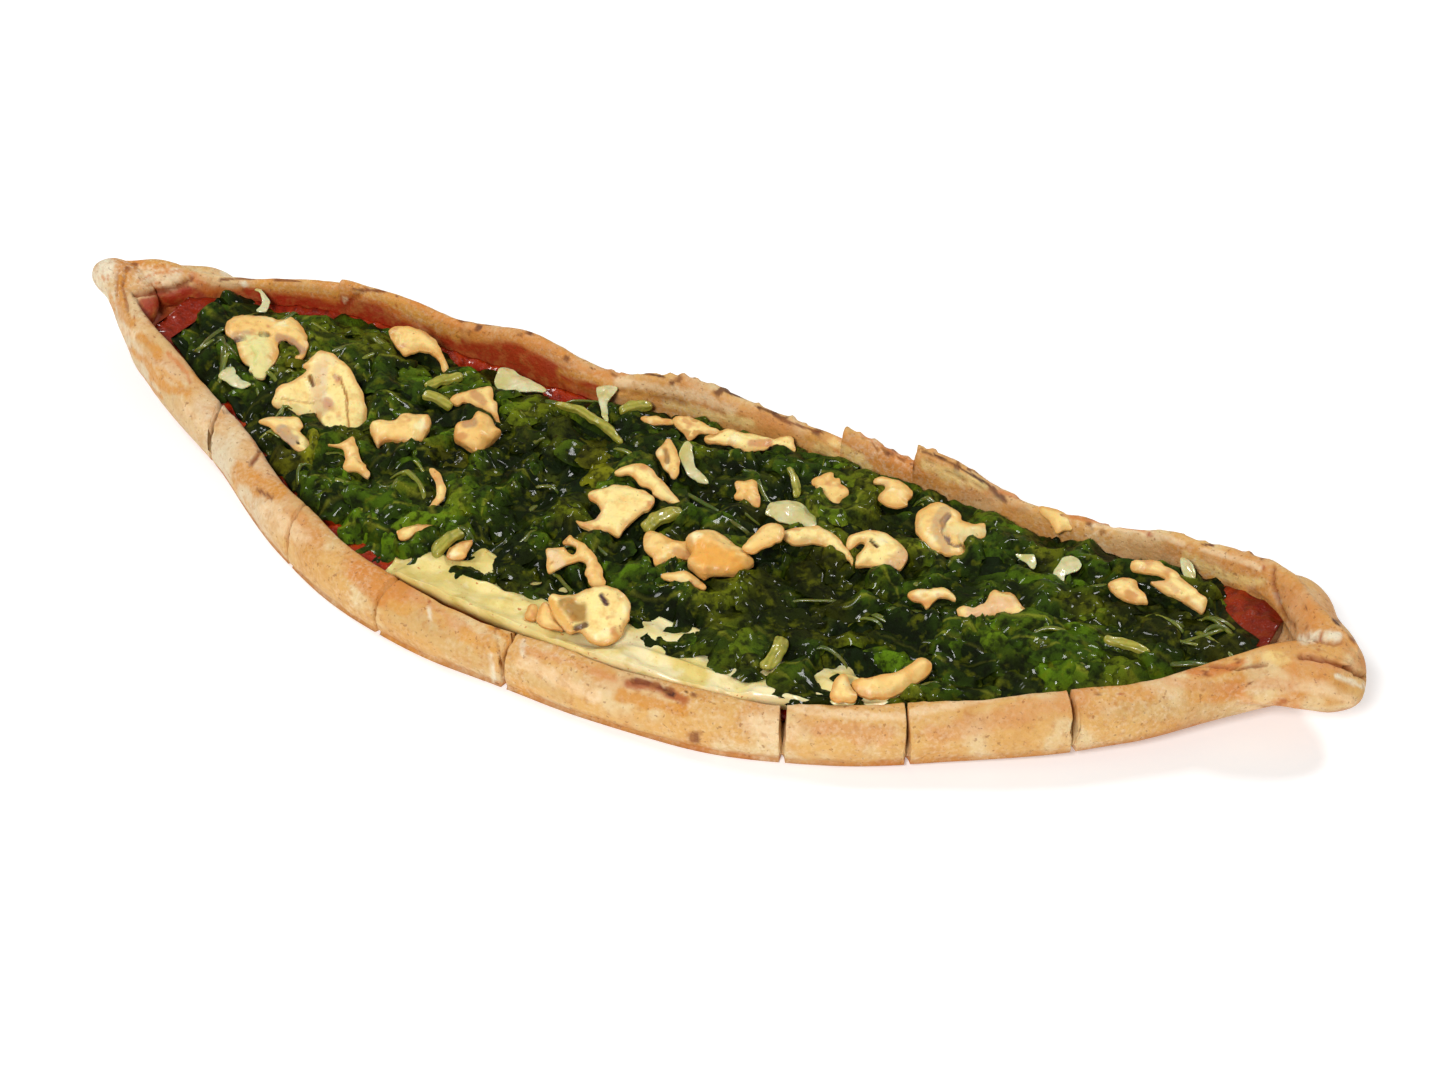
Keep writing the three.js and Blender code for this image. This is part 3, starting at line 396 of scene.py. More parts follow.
BREAD_DABS = [  # view, shade, and the half width and points of each dab
    ("left_end", "flour", [
        (44, (90, 150), (100, 110)), (22, (270, 165), (320, 178), (380, 152)), (16, (640, 190)),
        # The flour dab at (1130, 215) is a painted highlight on the far rim's flap, not flour
        (8, (760, 860), (840, 940)), (12, (1130, 215)), (10, (560, 150), (620, 160))]),
    ("left_end", "pale", [
        (40, (250, 160), (330, 170), (360, 190)), (20, (160, 370), (220, 390)),
        (45, (400, 690), (480, 760)), (34, (600, 690), (680, 700)), (40, (740, 1080), (860, 1180)),
        (12, (1040, 250))]),
    ("left_end", "tan", [
        (30, (260, 420), (330, 440)), (34, (340, 640), (480, 830)), (40, (860, 1020), (1000, 1180))]),
    ("left_end", "gold", [
        (22, (700, 190), (800, 205), (900, 215), (1000, 235)), (24, (1090, 220), (1200, 250), (1320, 310)),
        (24, (1320, 310), (1470, 400)), (9, (250, 116), (330, 106), (400, 116)),
        (40, (820, 880), (880, 940)), (12, (300, 520), (400, 590))]),
    ("left_end", "amber", [
        (22, (175, 165), (160, 230), (165, 310), (200, 340)), (10, (120, 240), (130, 330)),
        (14, (195, 450), (250, 490), (290, 540)), (20, (240, 400), (300, 450), (310, 480)),
        (20, (290, 560), (350, 600), (420, 620)), (44, (640, 930), (720, 990), (760, 1000)),
        (8, (190, 500), (320, 640))]),
    ("left_end", "toast", [
        (12, (350, 470), (420, 540), (430, 575)), (5, (230, 180), (300, 150), (400, 140)),
        (5, (260, 200), (330, 180)), (26, (700, 800), (760, 860)), (30, (820, 800), (880, 880)),
        (6, (75, 165), (112, 170)), (14, (1200, 290), (1300, 340), (1400, 420))]),
    ("left_end", "orange", [
        (18, (440, 160), (480, 200), (510, 230)), (12, (540, 215), (640, 215), (760, 225)),
        (12, (780, 225), (900, 235), (1000, 255)), (10, (1060, 230), (1180, 270), (1300, 340))]),
    ("left_end", "sauced", [
        (32, (262, 268), (340, 256), (430, 226)), (32, (290, 322), (350, 345), (385, 362)),
        (16, (640, 225), (760, 238), (840, 256)), (24, (780, 258), (900, 280), (1020, 320)),
        (24, (1040, 300), (1160, 340), (1280, 400), (1400, 470), (1500, 520))]),
    ("left_end", "rust", [
        (7, (428, 575)), (5, (510, 750)), (6, (212, 320)), (5, (520, 240)), (6, (1240, 275))]),
    ("left_end", "brown", [
        (5, (180, 128), (200, 135)), (5, (205, 110), (224, 118)), (7, (670, 900), (720, 830), (740, 800)),
        (5, (740, 800), (800, 860)), (8, (700, 1000), (750, 1030)), (5, (1240, 240)), (5, (1300, 275)),
        (6, (550, 175), (680, 170)), (6, (760, 175), (860, 182)), (6, (1060, 212), (1200, 222))]),
    ("cheese", "flour", [
        (12, (540, 560), (560, 680)), (10, (240, 330), (250, 430)), (14, (700, 500), (700, 560))]),
    ("cheese", "pale", [(40, (700, 600), (900, 700), (1050, 760))]),
    ("cheese", "tan", [
        (52, (60, 350), (300, 480), (500, 600)), (26, (150, 350), (260, 430)), (30, (640, 640), (900, 760))]),
    ("cheese", "blush", [
        (18, (150, 260), (280, 340), (430, 430)), (20, (720, 540), (900, 590), (1060, 640), (1150, 680)),
        (14, (330, 400), (380, 440)), (24, (1560, 700), (1700, 740))]),
    ("cheese", "gold", [
        (26, (690, 730), (720, 750)), (26, (40, 500), (300, 640), (620, 790)), (30, (60, 320), (140, 350)),
        (36, (420, 470), (560, 520))]),
    ("cheese", "amber", [(36, (1180, 760), (1330, 790), (1480, 840)), (16, (540, 430), (640, 480))]),
    ("cheese", "rust", [
        (30, (1220, 700), (1350, 720), (1480, 780)), (10, (1530, 850)), (5, (592, 640)), (8, (240, 300))]),
    ("cheese", "brown", [
        (16, (1240, 690), (1330, 705), (1430, 745)), (5, (565, 430), (592, 436)), (14, (1540, 760))]),
    ("cheese", "burnt", [(10, (1400, 740), (1440, 760)), (8, (1500, 745))]),
    ("middle", "pale", [
        (26, (300, 110), (500, 150), (700, 180), (900, 260)), (60, (1000, 1900), (1200, 1950))]),
    ("middle", "cream", [
        (24, (560, 220), (800, 290), (1000, 330)), (26, (1420, 430), (1500, 480), (1560, 500))]),
    ("middle", "gold", [
        (26, (0, 60), (130, 90), (260, 120)), (24, (300, 170), (500, 190)), (18, (1300, 400), (1420, 470))]),
    ("middle", "orange", [(16, (0, 110), (130, 150), (220, 190))]),
    ("middle", "sauced", [(14, (0, 170), (100, 200), (160, 230))]),
    ("middle", "brown", [
        (8, (270, 70), (290, 85)), (30, (706, 1970)), (7, (700, 90)), (7, (1150, 310), (1380, 385))]),
    ("middle", "burnt", [
        (7, (410, 62), (540, 88)), (9, (870, 168), (960, 193)), (9, (1040, 250), (1130, 278)),
        (9, (1505, 318), (1525, 313)), (5, (150, 40), (170, 45))]),
    ("right_heap", "pale", [
        (26, (20, 1440), (300, 1480), (640, 1500)), (24, (680, 1480), (1100, 1400), (1540, 1310)),
        (22, (1370, 400), (1450, 470))]),
    ("right_heap", "cream", [
        (34, (200, 90), (300, 150), (450, 200)), (34, (760, 180), (900, 240), (1050, 290))]),
    ("right_heap", "blush", [
        (60, (800, 1600), (1200, 1500), (1560, 1380)), (50, (220, 1560), (560, 1600))]),
    ("right_heap", "toast", [
        (11, (1150, 320), (1330, 380)), (9, (1440, 440)), (7, (420, 20), (560, 100), (700, 170))]),
    ("right_heap", "brown", [(6, (480, 70), (515, 110)), (6, (620, 145), (700, 185))]),
    ("right_heap", "burnt", [(7, (750, 112), (830, 140), (960, 210), (1090, 285))]),
    ("far_right", "pale", [(17, (900, 575), (1100, 600), (1300, 660))]),
    ("far_right", "toast", [(9, (790, 540), (880, 555), (1000, 580), (1130, 600))]),
    ("far_right", "rust", [(15, (1150, 620))]),
    ("far_right", "burnt", [
        (7, (1020, 572), (1130, 568)), (8, (1150, 570), (1175, 588)), (6, (1400, 665), (1440, 670))]),
    ("right_end", "flour", [
        (28, (1090, 780), (1200, 760), (1260, 760)), (15, (1260, 960), (1380, 1010)),
        (11, (960, 560), (980, 600)), (14, (1420, 860), (1440, 950))]),
    ("right_end", "pale", [
        (16, (100, 960), (250, 960), (400, 940)), (22, (820, 1130), (950, 1150)),
        (32, (1060, 1000), (1200, 1030), (1330, 1080)), (15, (600, 340), (760, 380), (880, 430))]),
    ("right_end", "cream", [(28, (930, 860), (1000, 880)), (27, (520, 370), (700, 470), (880, 500))]),
    ("right_end", "tan", [(50, (200, 1130), (500, 1130), (760, 1150))]),
    ("right_end", "gold", [(13, (580, 450), (700, 500), (800, 540)), (26, (860, 880))]),
    ("right_end", "blush", [
        (26, (420, 980), (560, 1010), (700, 1020), (900, 1000), (1050, 1000)),
        (30, (1000, 560), (1040, 600)), (27, (1100, 880), (1200, 900), (1340, 920)),
        (14, (640, 1190), (720, 1180))]),
    ("right_end", "orange", [(22, (540, 930), (620, 950), (700, 930), (800, 890))]),
    ("right_end", "rust", [
        (8, (190, 1050)), (14, (980, 1095), (1010, 1080)), (7, (1190, 740), (1180, 800), (1165, 830)),
        (13, (900, 430))]),
    ("right_end", "brown", [
        (8, (85, 1050)), (6, (530, 985)), (6, (610, 1030)), (6, (680, 1015)), (6, (835, 995)),
        (8, (1110, 625)), (8, (1112, 720)), (13, (1330, 775), (1342, 790)), (6, (600, 318), (650, 320)),
        (12, (610, 940), (620, 955)), (12, (770, 880), (780, 900))]),
    ("right_end", "burnt", [(12, (1250, 690), (1268, 700))]),
]


# Number helpers

def smooth(x, start, end):
    t = np.clip((x - start) / (end - start), 0, 1)
    return t * t * (3 - 2 * t)


def lerp(a, b, t):
    return a + (b - a) * t


def between(x, start, end, fade_in, fade_out=None):
    """1 from start to end and 0 outside, with soft edges inside them."""
    fade_out = fade_in if fade_out is None else fade_out
    return smooth(x, start, start + fade_in) * (1 - smooth(x, end - fade_out, end))


def along(rows, column):
    """A smooth curve through one column of rows, as a function of x."""
    at = np.array([row[0] for row in rows], float)
    value = np.array([row[column] for row in rows], float)
    before = np.maximum(np.arange(len(at)) - 1, 0)
    after = np.minimum(np.arange(len(at)) + 1, len(at) - 1)
    slope = (value[after] - value[before]) / (at[after] - at[before])

    def curve(x):
        x = np.clip(x, at[0], at[-1])
        i = np.clip(np.searchsorted(at, x) - 1, 0, len(at) - 2)
        width = at[i + 1] - at[i]
        t = (x - at[i]) / width
        start = (2 * t**3 - 3 * t**2 + 1) * value[i] + (t**3 - 2 * t**2 + t) * width * slope[i]
        end = (3 * t**2 - 2 * t**3) * value[i + 1] + (t**3 - t**2) * width * slope[i + 1]
        return start + end

    return curve


def lattice(cell, seed):
    """A fixed number from 0 to 1 for each place with whole-numbered coordinates."""
    bits = cell[..., 0] * 73856093 ^ cell[..., 1] * 19349663 ^ cell[..., 2] * 83492791
    bits = (bits ^ (seed * 2654435761)) & 0xFFFFFFFF
    for _ in range(2):
        bits = (((bits >> 16) ^ bits) * 0x45D9F3B) & 0xFFFFFFFF
    return ((bits >> 16) ^ bits) / 0xFFFFFFFF


def noise(points, size, seed):
    """Smooth noise from -1 to 1, with bumps about size across, in the pattern of a seed."""
    places = points / size
    cell = np.floor(places).astype(np.int64)
    part = places - cell
    part = part * part * (3 - 2 * part)
    total = 0
    for corner in np.ndindex(2, 2, 2):
        share = np.prod(np.where(corner, part, 1 - part), axis=-1)
        total = total + share * lattice(cell + np.array(corner), seed)
    return 2 * total - 1


def fractal(points, size, seed):
    """Noise of three sizes laid over each other."""
    total = 0
    for octave in range(3):
        total = total + noise(points, size / 2**octave, seed + octave) / 2**octave
    return total / 1.5


def spline(a, b, c, d, t):
    """A smooth curve from b to c, between its neighbours a and d."""
    return 0.5 * (2 * b + (c - a) * t + (2 * a - 5 * b + 4 * c - d) * t**2 + (3 * b - a - 3 * c + d) * t**3)


def ridges(points, size, seed):
    """Noise from 0 to 1 with sharp crests, as crumpled leaves have."""
    return 1 - np.abs(noise(points, size, seed)) * 1.6


def around(sides):
    return np.linspace(0, 2 * np.pi, sides, endpoint=False)


def flat(x, y):
    return np.stack([x, y, np.zeros_like(x)], axis=-1)


# The camera, which also places what was put on the photograph

CAMERA_PLACE = np.array([366.9, -641.8, 584.9])
CAMERA_AIM = np.array([18.8, 20.9, 0])
FOCAL = 3028.9
PICTURE = (1448, 1086)
FORWARD = (CAMERA_AIM - CAMERA_PLACE) / np.linalg.norm(CAMERA_AIM - CAMERA_PLACE)
RIGHT = np.cross(FORWARD, [0, 0, 1]) / np.linalg.norm(np.cross(FORWARD, [0, 0, 1]))
UP = np.cross(RIGHT, FORWARD)


def in_picture(points):
    """Pixels of the photograph where points show."""
    away = points - CAMERA_PLACE
    scale = FOCAL / (away @ FORWARD)
    return np.stack([PICTURE[0] / 2 + scale * (away @ RIGHT), PICTURE[1] / 2 - scale * (away @ UP)], axis=-1)


def pixels_of(view, places):
    left, top, scale = VIEWS[view]
    return np.array(places, float) / scale + [left, top]


def onto_plane(pixels, middle, normal):
    """Points where the lines of sight through pixels meet a plane."""
    across, down = ((pixels - np.array(PICTURE) / 2) / FOCAL).T[..., None]
    rays = across * RIGHT - down * UP + FORWARD
    reach = ((middle - CAMERA_PLACE) @ normal) / (rays @ normal)
    return CAMERA_PLACE + rays * reach[:, None]


def near_line(pixels, line):
    """Distance of each pixel from a line through points."""
    best = np.full(len(pixels), np.inf)
    for a, b in zip(line[:-1], line[1:]):
        step = b - a
        share = np.clip(((pixels - a) @ step) / max(step @ step, 1e-9), 0, 1)
        best = np.minimum(best, np.linalg.norm(pixels - a - share[:, None] * step, axis=1))
    return best


def dab(points, pixels, view, half_width, line, ragged=0.3):
    """Share from 0 to 1 of a dab along a line, with an uneven edge."""
    line = pixels_of(view, line if len(line) > 1 else line * 2)
    width = half_width / VIEWS[view][2]
    uneven = noise(points, 2.2, 91) + smooth(ragged, 0.3, 0.9) * noise(points, 5, 92)
    distance = near_line(pixels, line) + ragged * width * uneven
    return 1 - smooth(distance, 0.55 * width, 1.25 * width)


# Shape of the bread

near_wall = along(OUTLINE, 1)
far_wall = along(OUTLINE, 2)
near_height = along(RIM, 1)
far_height = along(RIM, 2)
near_width = along(RIM, 3)
far_width = along(RIM, 4)
hump_rise = along(FAR_HUMPS, 1)


def lift(x):
    t = np.maximum(np.abs(x) - FLAT_HALF, 0) / (TIP_X - FLAT_HALF)
    return TIP_LIFT * t * t


def wave(x, phase):
    return 0.6 * np.sin(x / 17 + phase) + 0.4 * np.sin(x / 7.3 + 2.1 * phase)


def far_rise(x):
    rise = hump_rise(x)
    for start, height, length in FAR_FLAPS:
        inside = (x >= start) & (x < start + length)
        rise = rise + np.where(inside, height * (1 - (x - start) / length), 0)
    return rise


def hollow(x):
    """Near and far side of the hollow, and how far it is open, from 0 to 1."""
    near = near_wall(x) + near_width(x)
    far = far_wall(x) - far_width(x)
    middle = (near + far) / 2
    open_share = between(x, *HOLLOW_ENDS, 5, 6)
    return np.minimum(near, middle - HOLLOW_HALF), np.maximum(far, middle + HOLLOW_HALF), open_share


def cut_share(x):
    share = np.zeros_like(x)
    for at, _ in NEAR_CUTS:
        share = np.maximum(share, np.clip(1 - np.abs(x - at) / CUT_HALF, 0, 1) ** 0.6)
    return share


def bread_sections(x):
    """Control points of the bread's rings, as an array of rings by 22 points by y and z."""
    inner_near, inner_far, open_share = hollow(x)
    cut = cut_share(x)
    hn = (near_height(x) + wave(x, 0.4)) * (1 - CUT_DEPTH * cut)
    hf = far_height(x) + wave(x, 2.2) + far_rise(x)
    yn = near_wall(x) + 0.5 * wave(x, 1.3) + 3.5 * cut
    yf = far_wall(x) + 0.5 * wave(x, 3.9)
    foot = np.minimum(5, 0.25 * (yf - yn))
    wn = np.maximum(inner_near - yn, 2)
    wf = np.maximum(yf - inner_far, 2)
    floor = lerp(0.97 * np.minimum(hn, hf), BASE, open_share)
    lip_n = np.maximum(floor, LIP_SHARE * hn)
    lip_f = np.maximum(floor, LIP_SHARE * hf)
    zero = np.zeros_like(x)
    places = [
        (yn + foot, zero), (yn + 0.33 * (yf - yn), zero), (yn + 0.67 * (yf - yn), zero),
        (yf - foot, zero), (yf - 1.6, zero + 1.6), (yf, 0.4 * hf), (yf - 0.8, LIP_SHARE * hf),
        *[(yf - across * wf, up * hf) for across, up in FAR_PROFILE],
        (yf - wf, lip_f), (inner_far - 0.4, floor + np.minimum(0.25 * (lip_f - floor), 2)),
        (inner_far - 1.6, floor), (inner_near + 1.6, floor),
        (inner_near + 0.4, floor + np.minimum(0.25 * (lip_n - floor), 2)), (yn + wn, lip_n),
        *[(yn + across * wn, up * hn) for across, up in NEAR_PROFILE],
        (yn + 0.8, 0.7 * hn), (yn, 0.4 * np.minimum(hn, near_height(x))), (yn + 1.6, zero + 1.6),
    ]
    return np.stack([np.stack([y, z + lift(x)], axis=-1) for y, z in places], axis=1)


def rounded(controls, counts):
    """Closed smooth curves through control points, with counts points in each stretch."""
    parts = []
    for i, count in enumerate(counts):
        a, b, c, d = (controls[:, (i + k) % len(counts)] for k in (-1, 0, 1, 2))
        parts += [spline(a, b, c, d, t) for t in np.arange(count) / count]
    return np.stack(parts, axis=1)


def slid(x, y):
    """Each cut crosses the rim at its own angle, so near it the section slides along the rim."""
    shift = np.zeros_like(y)
    for at, lean in NEAR_CUTS:
        closeness = np.maximum(0, 1 - np.abs(x - at) / SLIDE_REACH)
        inward = np.clip((y - near_wall(at)) / SLIDE_REACH, 0, 1)
        fade = 1 - np.clip((y - near_wall(at) - 20) / 40, 0, 1)
        shift = shift + lean * closeness * inward * fade
    return x + shift, y + near_wall(x + shift) - near_wall(x)


def sauce_rise(x):
    return SAUCE_RISE * smooth(np.abs(x), 160, 190)


def sauce_top(x, y):
    return lift(x) + SAUCE_TOP + sauce_rise(x) + 0.35 * np.sin(x / 5) * np.sin(y / 4.2)


def cheese_near(x):
    return hollow(x)[0] + GAP + 0.7


def cheese_far(x):
    return cheese_near(x) + CHEESE_WIDTH - 6 * smooth(x, 20, 120)


def cheese_share(x):
    return between(x, *CHEESE_ENDS, 8, 12)


def cheese_top(x, y):
    edge = lift(x) + SAUCE_TOP + 1.6
    up = 2.6 * np.exp(-np.maximum(y - cheese_near(x), 0) / 7)
    full = edge - 0.6 + CHEESE_DEPTH + up + 0.3 * np.sin(x / 6 + y / 5)
    return lerp(edge, full, cheese_share(x))


def heap_near(x):
    return hollow(x)[0] + 2.5 + 15 * between(x, -66, 95, 22, 50) + 7 * between(x, -98, -50, 14)


def heap_far(x):
    return hollow(x)[1] - 1.8 - 7 * between(x, -176, -44, 16, 18) - 14 * smooth(x, 160, 186)


def heap_top(x, y):
    across = np.clip((y - heap_near(x)) / (heap_far(x) - heap_near(x)), 0, 1)
    crown = 1 - np.abs(2 * across - 1) ** 3
    close = 1 - smooth(np.abs(x - 6), 168, 187)
    lumps = 0.9 * np.sin(x / 9 + 1) * np.sin(y / 8) + 0.7 * np.sin(x / 5.2 + y / 6.5)
    rise = (HEAP_CROWN - HEAP_EDGE + lumps) * crown * close
    height = lift(x) + HEAP_EDGE + 1.2 * (1 - close) + rise
    return np.where(y < cheese_far(x), np.maximum(height, cheese_top(x, y) + 1.5), height)


def heap_bottom(x):
    return lift(x) + SAUCE_TOP + sauce_rise(x) + 0.7 + GAP


def core_top(x, y):
    """Height of the heap, pressed to the bed of each topping."""
    height = heap_top(x, y)
    for tx, ty, _, lean, length, _, _ in TOPPINGS:
        reach = np.hypot(x - tx, y - ty) / (0.5 * length + 2)
        away = -(x - tx) * TOWARDS[0] - (y - ty) * TOWARDS[1]
        middle = heap_top(np.array(float(tx)), np.array(float(ty)))
        bed = middle - SINK + away * np.tan(np.radians(lean))
        height = lerp(height, bed, np.where(reach < 1.3, 1 - smooth(reach, 0.7, 1.3), 0))
    return np.maximum(height, heap_bottom(x) + 1)


# Meshes

def mesh_of(name, points, faces):
    """A mesh in metres from points in millimetres and a list of face arrays, each of one size."""
    mesh = bpy.data.meshes.new(name)
    mesh.vertices.add(len(points))
    mesh.vertices.foreach_set("co", (np.asarray(points, float) * 0.001).ravel())
    corners = np.concatenate([np.asarray(f).ravel() for f in faces])
    sizes = np.concatenate([np.full(len(f), np.shape(f)[1]) for f in faces])
    mesh.loops.add(len(corners))
    mesh.loops.foreach_set("vertex_index", corners.astype(np.int32))
    mesh.polygons.add(len(sizes))
    mesh.polygons.foreach_set("loop_start", (np.cumsum(sizes) - sizes).astype(np.int32))
    mesh.update(calc_edges=True)
    mesh.validate()
    mesh.polygons.foreach_set("use_smooth", np.ones(len(mesh.polygons), bool))
    return mesh


def points_of(mesh):
    values = np.zeros(len(mesh.vertices) * 3)
    mesh.vertices.foreach_get("co", values)
    return values.reshape(-1, 3) * 1000


def normals_of(mesh):
    values = np.zeros(len(mesh.vertices) * 3)
    mesh.vertex_normals.foreach_get("vector", values)
    return values.reshape(-1, 3)


def edges_of(mesh):
    values = np.zeros(len(mesh.edges) * 2, np.int32)
    mesh.edges.foreach_get("vertices", values)
    return values.reshape(-1, 2)


def set_points(mesh, points):
    mesh.vertices.foreach_set("co", (points * 0.001).ravel())
    mesh.update()


def relaxed(points, edges, rounds, share=0.5):
    """Points drawn towards the middle of their neighbours."""
    count = np.bincount(edges.ravel(), minlength=len(points))
    a, b = edges.T
    for _ in range(rounds):
        middle = np.stack([
            np.bincount(a, points[b, k], len(points)) + np.bincount(b, points[a, k], len(points))
            for k in range(3)
        ], axis=1) / np.maximum(count, 1)[:, None]
        points = points + share * (middle - points)
    return points


def linked(name, mesh):
    obj = bpy.data.objects.new(name, mesh)
    bpy.context.scene.collection.objects.link(obj)
    return obj


def with_modifier(mesh, kind, **settings):
    """The mesh after one modifier."""
    obj = linked("working", mesh)
    modifier = obj.modifiers.new("step", kind)
    for key, value in settings.items():
        setattr(modifier, key, value)
    done = bpy.data.meshes.new_from_object(obj.evaluated_get(bpy.context.evaluated_depsgraph_get()))
    bpy.data.objects.remove(obj)
    return done


def grid_faces(rows, columns, closed):
    """Quads of a grid of points, whose rows close on themselves where closed is true."""
    i, j = np.indices((rows - 1, columns if closed else columns - 1))
    k = (j + 1) % columns
    corners = [i * columns + j, i * columns + k, (i + 1) * columns + k, (i + 1) * columns + j]
    return np.stack(corners, axis=-1).reshape(-1, 4)


def loft(rings):
    """Points and faces of a closed body through rings of equal length."""
    rows, columns, _ = rings.shape
    points = np.concatenate([rings.reshape(-1, 3), [rings[0].mean(0)], [rings[-1].mean(0)]])
    j = np.arange(columns)
    k = (j + 1) % columns
    first, last = rows * columns, rows * columns + 1
    base = (rows - 1) * columns
    start = np.stack([np.full(columns, first), k, j], axis=1)
    end = np.stack([np.full(columns, last), base + j, base + k], axis=1)
    return points, [grid_faces(rows, columns, True), np.concatenate([start, end])]


# Colours, written as they look on a screen from 0 to 255

def linear(colour):
    c = np.asarray(colour, float) / 255
    return np.where(c <= 0.04045, c / 12.92, ((c + 0.055) / 1.055) ** 2.4)


def plain(points, colour):
    """The same colour for every point."""
    return np.broadcast_to(linear(colour), points.shape).copy()


def mixed(base, colour, share):
    """Base colours drawn towards one colour by a share for each point."""
    share = np.clip(share, 0, 1)[..., None]
    return base * (1 - share) + linear(colour) * share


def paint(mesh, colours):
    attribute = mesh.attributes.new("tint", "FLOAT_COLOR", "POINT")
    rgba = np.concatenate([colours, np.ones((len(colours), 1))], axis=1)
    attribute.data.foreach_set("color", rgba.astype(np.float32).ravel())


def mark(mesh, values, name):
    attribute = mesh.attributes.new(name, "FLOAT", "POINT")
    attribute.data.foreach_set("value", np.clip(values, 0, 1).astype(np.float32))


def shown(name, mesh, material, slot, nodes):
    """Makes a piece of the object from a mesh, in place of its solids."""
    mesh.materials.clear()
    mesh.materials.append(material)
    obj = linked(name, mesh)
    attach(obj, "root")
    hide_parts(*nodes)


# Materials

def set_inputs(node, **values):
    for key, value in values.items():
        node.inputs[key.replace("_", " ")].default_value = value


class Look:
    """A Principled material that starts from the painted tint."""

    def __init__(self, name, roughness, specular=0.5):
        self.material = bpy.data.materials.new(name)
        self.material.use_nodes = True
        self.tree = self.material.node_tree
        self.shader = self.tree.nodes["Principled BSDF"]
        set_inputs(self.shader, Roughness=roughness, Specular_IOR_Level=specular)
        self.place = self.tree.nodes.new("ShaderNodeTexCoord").outputs["Object"]
        self.colour = self.attribute("tint").outputs["Color"]
        self.normal = None

    def attribute(self, name):
        node = self.tree.nodes.new("ShaderNodeAttribute")
        node.attribute_name = name
        return node

    def join(self, source, target):
        self.tree.links.new(source, target)

    def grain(self, size, detail, rough=0.55):
        """Noise with features about size millimetres across."""
        node = self.tree.nodes.new("ShaderNodeTexNoise")
        set_inputs(node, Scale=1000 / size, Detail=detail, Roughness=rough)
        self.join(self.place, node.inputs["Vector"])
        return node.outputs["Fac"]

    def ranged(self, value, low, high, most):
        """A share that rises from 0 where the value is low to most where it is high."""
        node = self.tree.nodes.new("ShaderNodeMapRange")
        set_inputs(node, From_Min=low, From_Max=high, To_Min=0, To_Max=most)
        self.join(value, node.inputs["Value"])
        return node.outputs["Result"]

    def times(self, a, b):
        node = self.tree.nodes.new("ShaderNodeMath")
        node.operation = "MULTIPLY"
        self.join(a, node.inputs[0])
        self.join(b, node.inputs[1])
        return node.outputs[0]

    def tinted(self, share, colour):
        """Draws the colour towards another where share is high."""
        node = self.tree.nodes.new("ShaderNodeMix")
        node.data_type = "RGBA"
        self.join(share, node.inputs["Factor"])
        self.join(self.colour, node.inputs["A"])
        node.inputs["B"].default_value = (*linear(colour), 1)
        self.colour = node.outputs["Result"]

    def spots(self, size, detail, low, high, most, colour, rough=0.55):
        """Draws the colour towards another in spots about size millimetres across."""
        self.tinted(self.ranged(self.grain(size, detail, rough), low, high, most), colour)

    def bump(self, size, detail, depth, rough=0.55):
        """Adds grainy relief, depth millimetres high."""
        node = self.tree.nodes.new("ShaderNodeBump")
        node.inputs["Distance"].default_value = depth / 1000
        self.join(self.grain(size, detail, rough), node.inputs["Height"])
        if self.normal:
            self.join(self.normal, node.inputs["Normal"])
        self.normal = node.outputs["Normal"]

    def finish(self, **settings):
        set_inputs(self.shader, **settings)
        self.join(self.colour, self.shader.inputs["Base Color"])
        self.join(self.normal, self.shader.inputs["Normal"])
        return self.material


def bread_look():
    look = Look("bread", 0.55, 0.3)
    look.spots(5, 5, 0.48, 0.68, 0.45, (200, 138, 66), 0.6)
    look.spots(2.4, 4, 0.54, 0.7, 0.4, (180, 112, 50))
    fine = look.ranged(look.grain(1.3, 4), 0.46, 0.7, 0.5)
    look.tinted(look.times(fine, look.attribute("flour").outputs["Fac"]), (246, 234, 206))
    look.spots(1.5, 2, 0.64, 0.7, 0.5, (134, 70, 24))
    # Painted shade in the folds of the dough, where the groove attribute is high
    look.tinted(look.ranged(look.attribute("groove").outputs["Fac"], 0, 1, 0.85), (140, 70, 24))
    look.bump(3.6, 4, 0.7, 0.6)
    look.bump(1.0, 3, 0.22, 0.6)
    return look.finish(Subsurface_Weight=0.08, Subsurface_Scale=0.001)


def sauce_look():
    look = Look("sauce", 0.3, 0.15)
    look.spots(2.6, 4, 0.48, 0.66, 0.75, (96, 16, 2))
    look.bump(2.6, 4, 1.1, 0.6)
    look.bump(0.9, 2, 0.25)
    return look.finish(Coat_Weight=0.4, Coat_Roughness=0.1)


def cheese_look():
    look = Look("melted_cheese", 0.4, 0.35)
    look.spots(6, 4, 0.52, 0.66, 0.4, (200, 172, 70))
    look.spots(3.5, 4, 0.56, 0.7, 0.5, (242, 226, 176))
    look.spots(1.8, 3, 0.66, 0.71, 0.8, (190, 96, 30))
    look.bump(2.6, 3, 0.3)
    return look.finish(Subsurface_Weight=0.25, Subsurface_Scale=0.003, Coat_Weight=0.4, Coat_Roughness=0.18)


def leaf_look():
    look = Look("spinach", 0.5, 0.04)
    look.spots(2.4, 4, 0.48, 0.64, 0.8, (12, 15, 0))
    look.spots(4.2, 3, 0.56, 0.7, 0.5, (108, 112, 12))
    look.bump(1.9, 4, 1.1, 0.65)
    look.bump(0.7, 2, 0.2)
    return look.finish(Coat_Weight=0.2, Coat_Roughness=0.08)


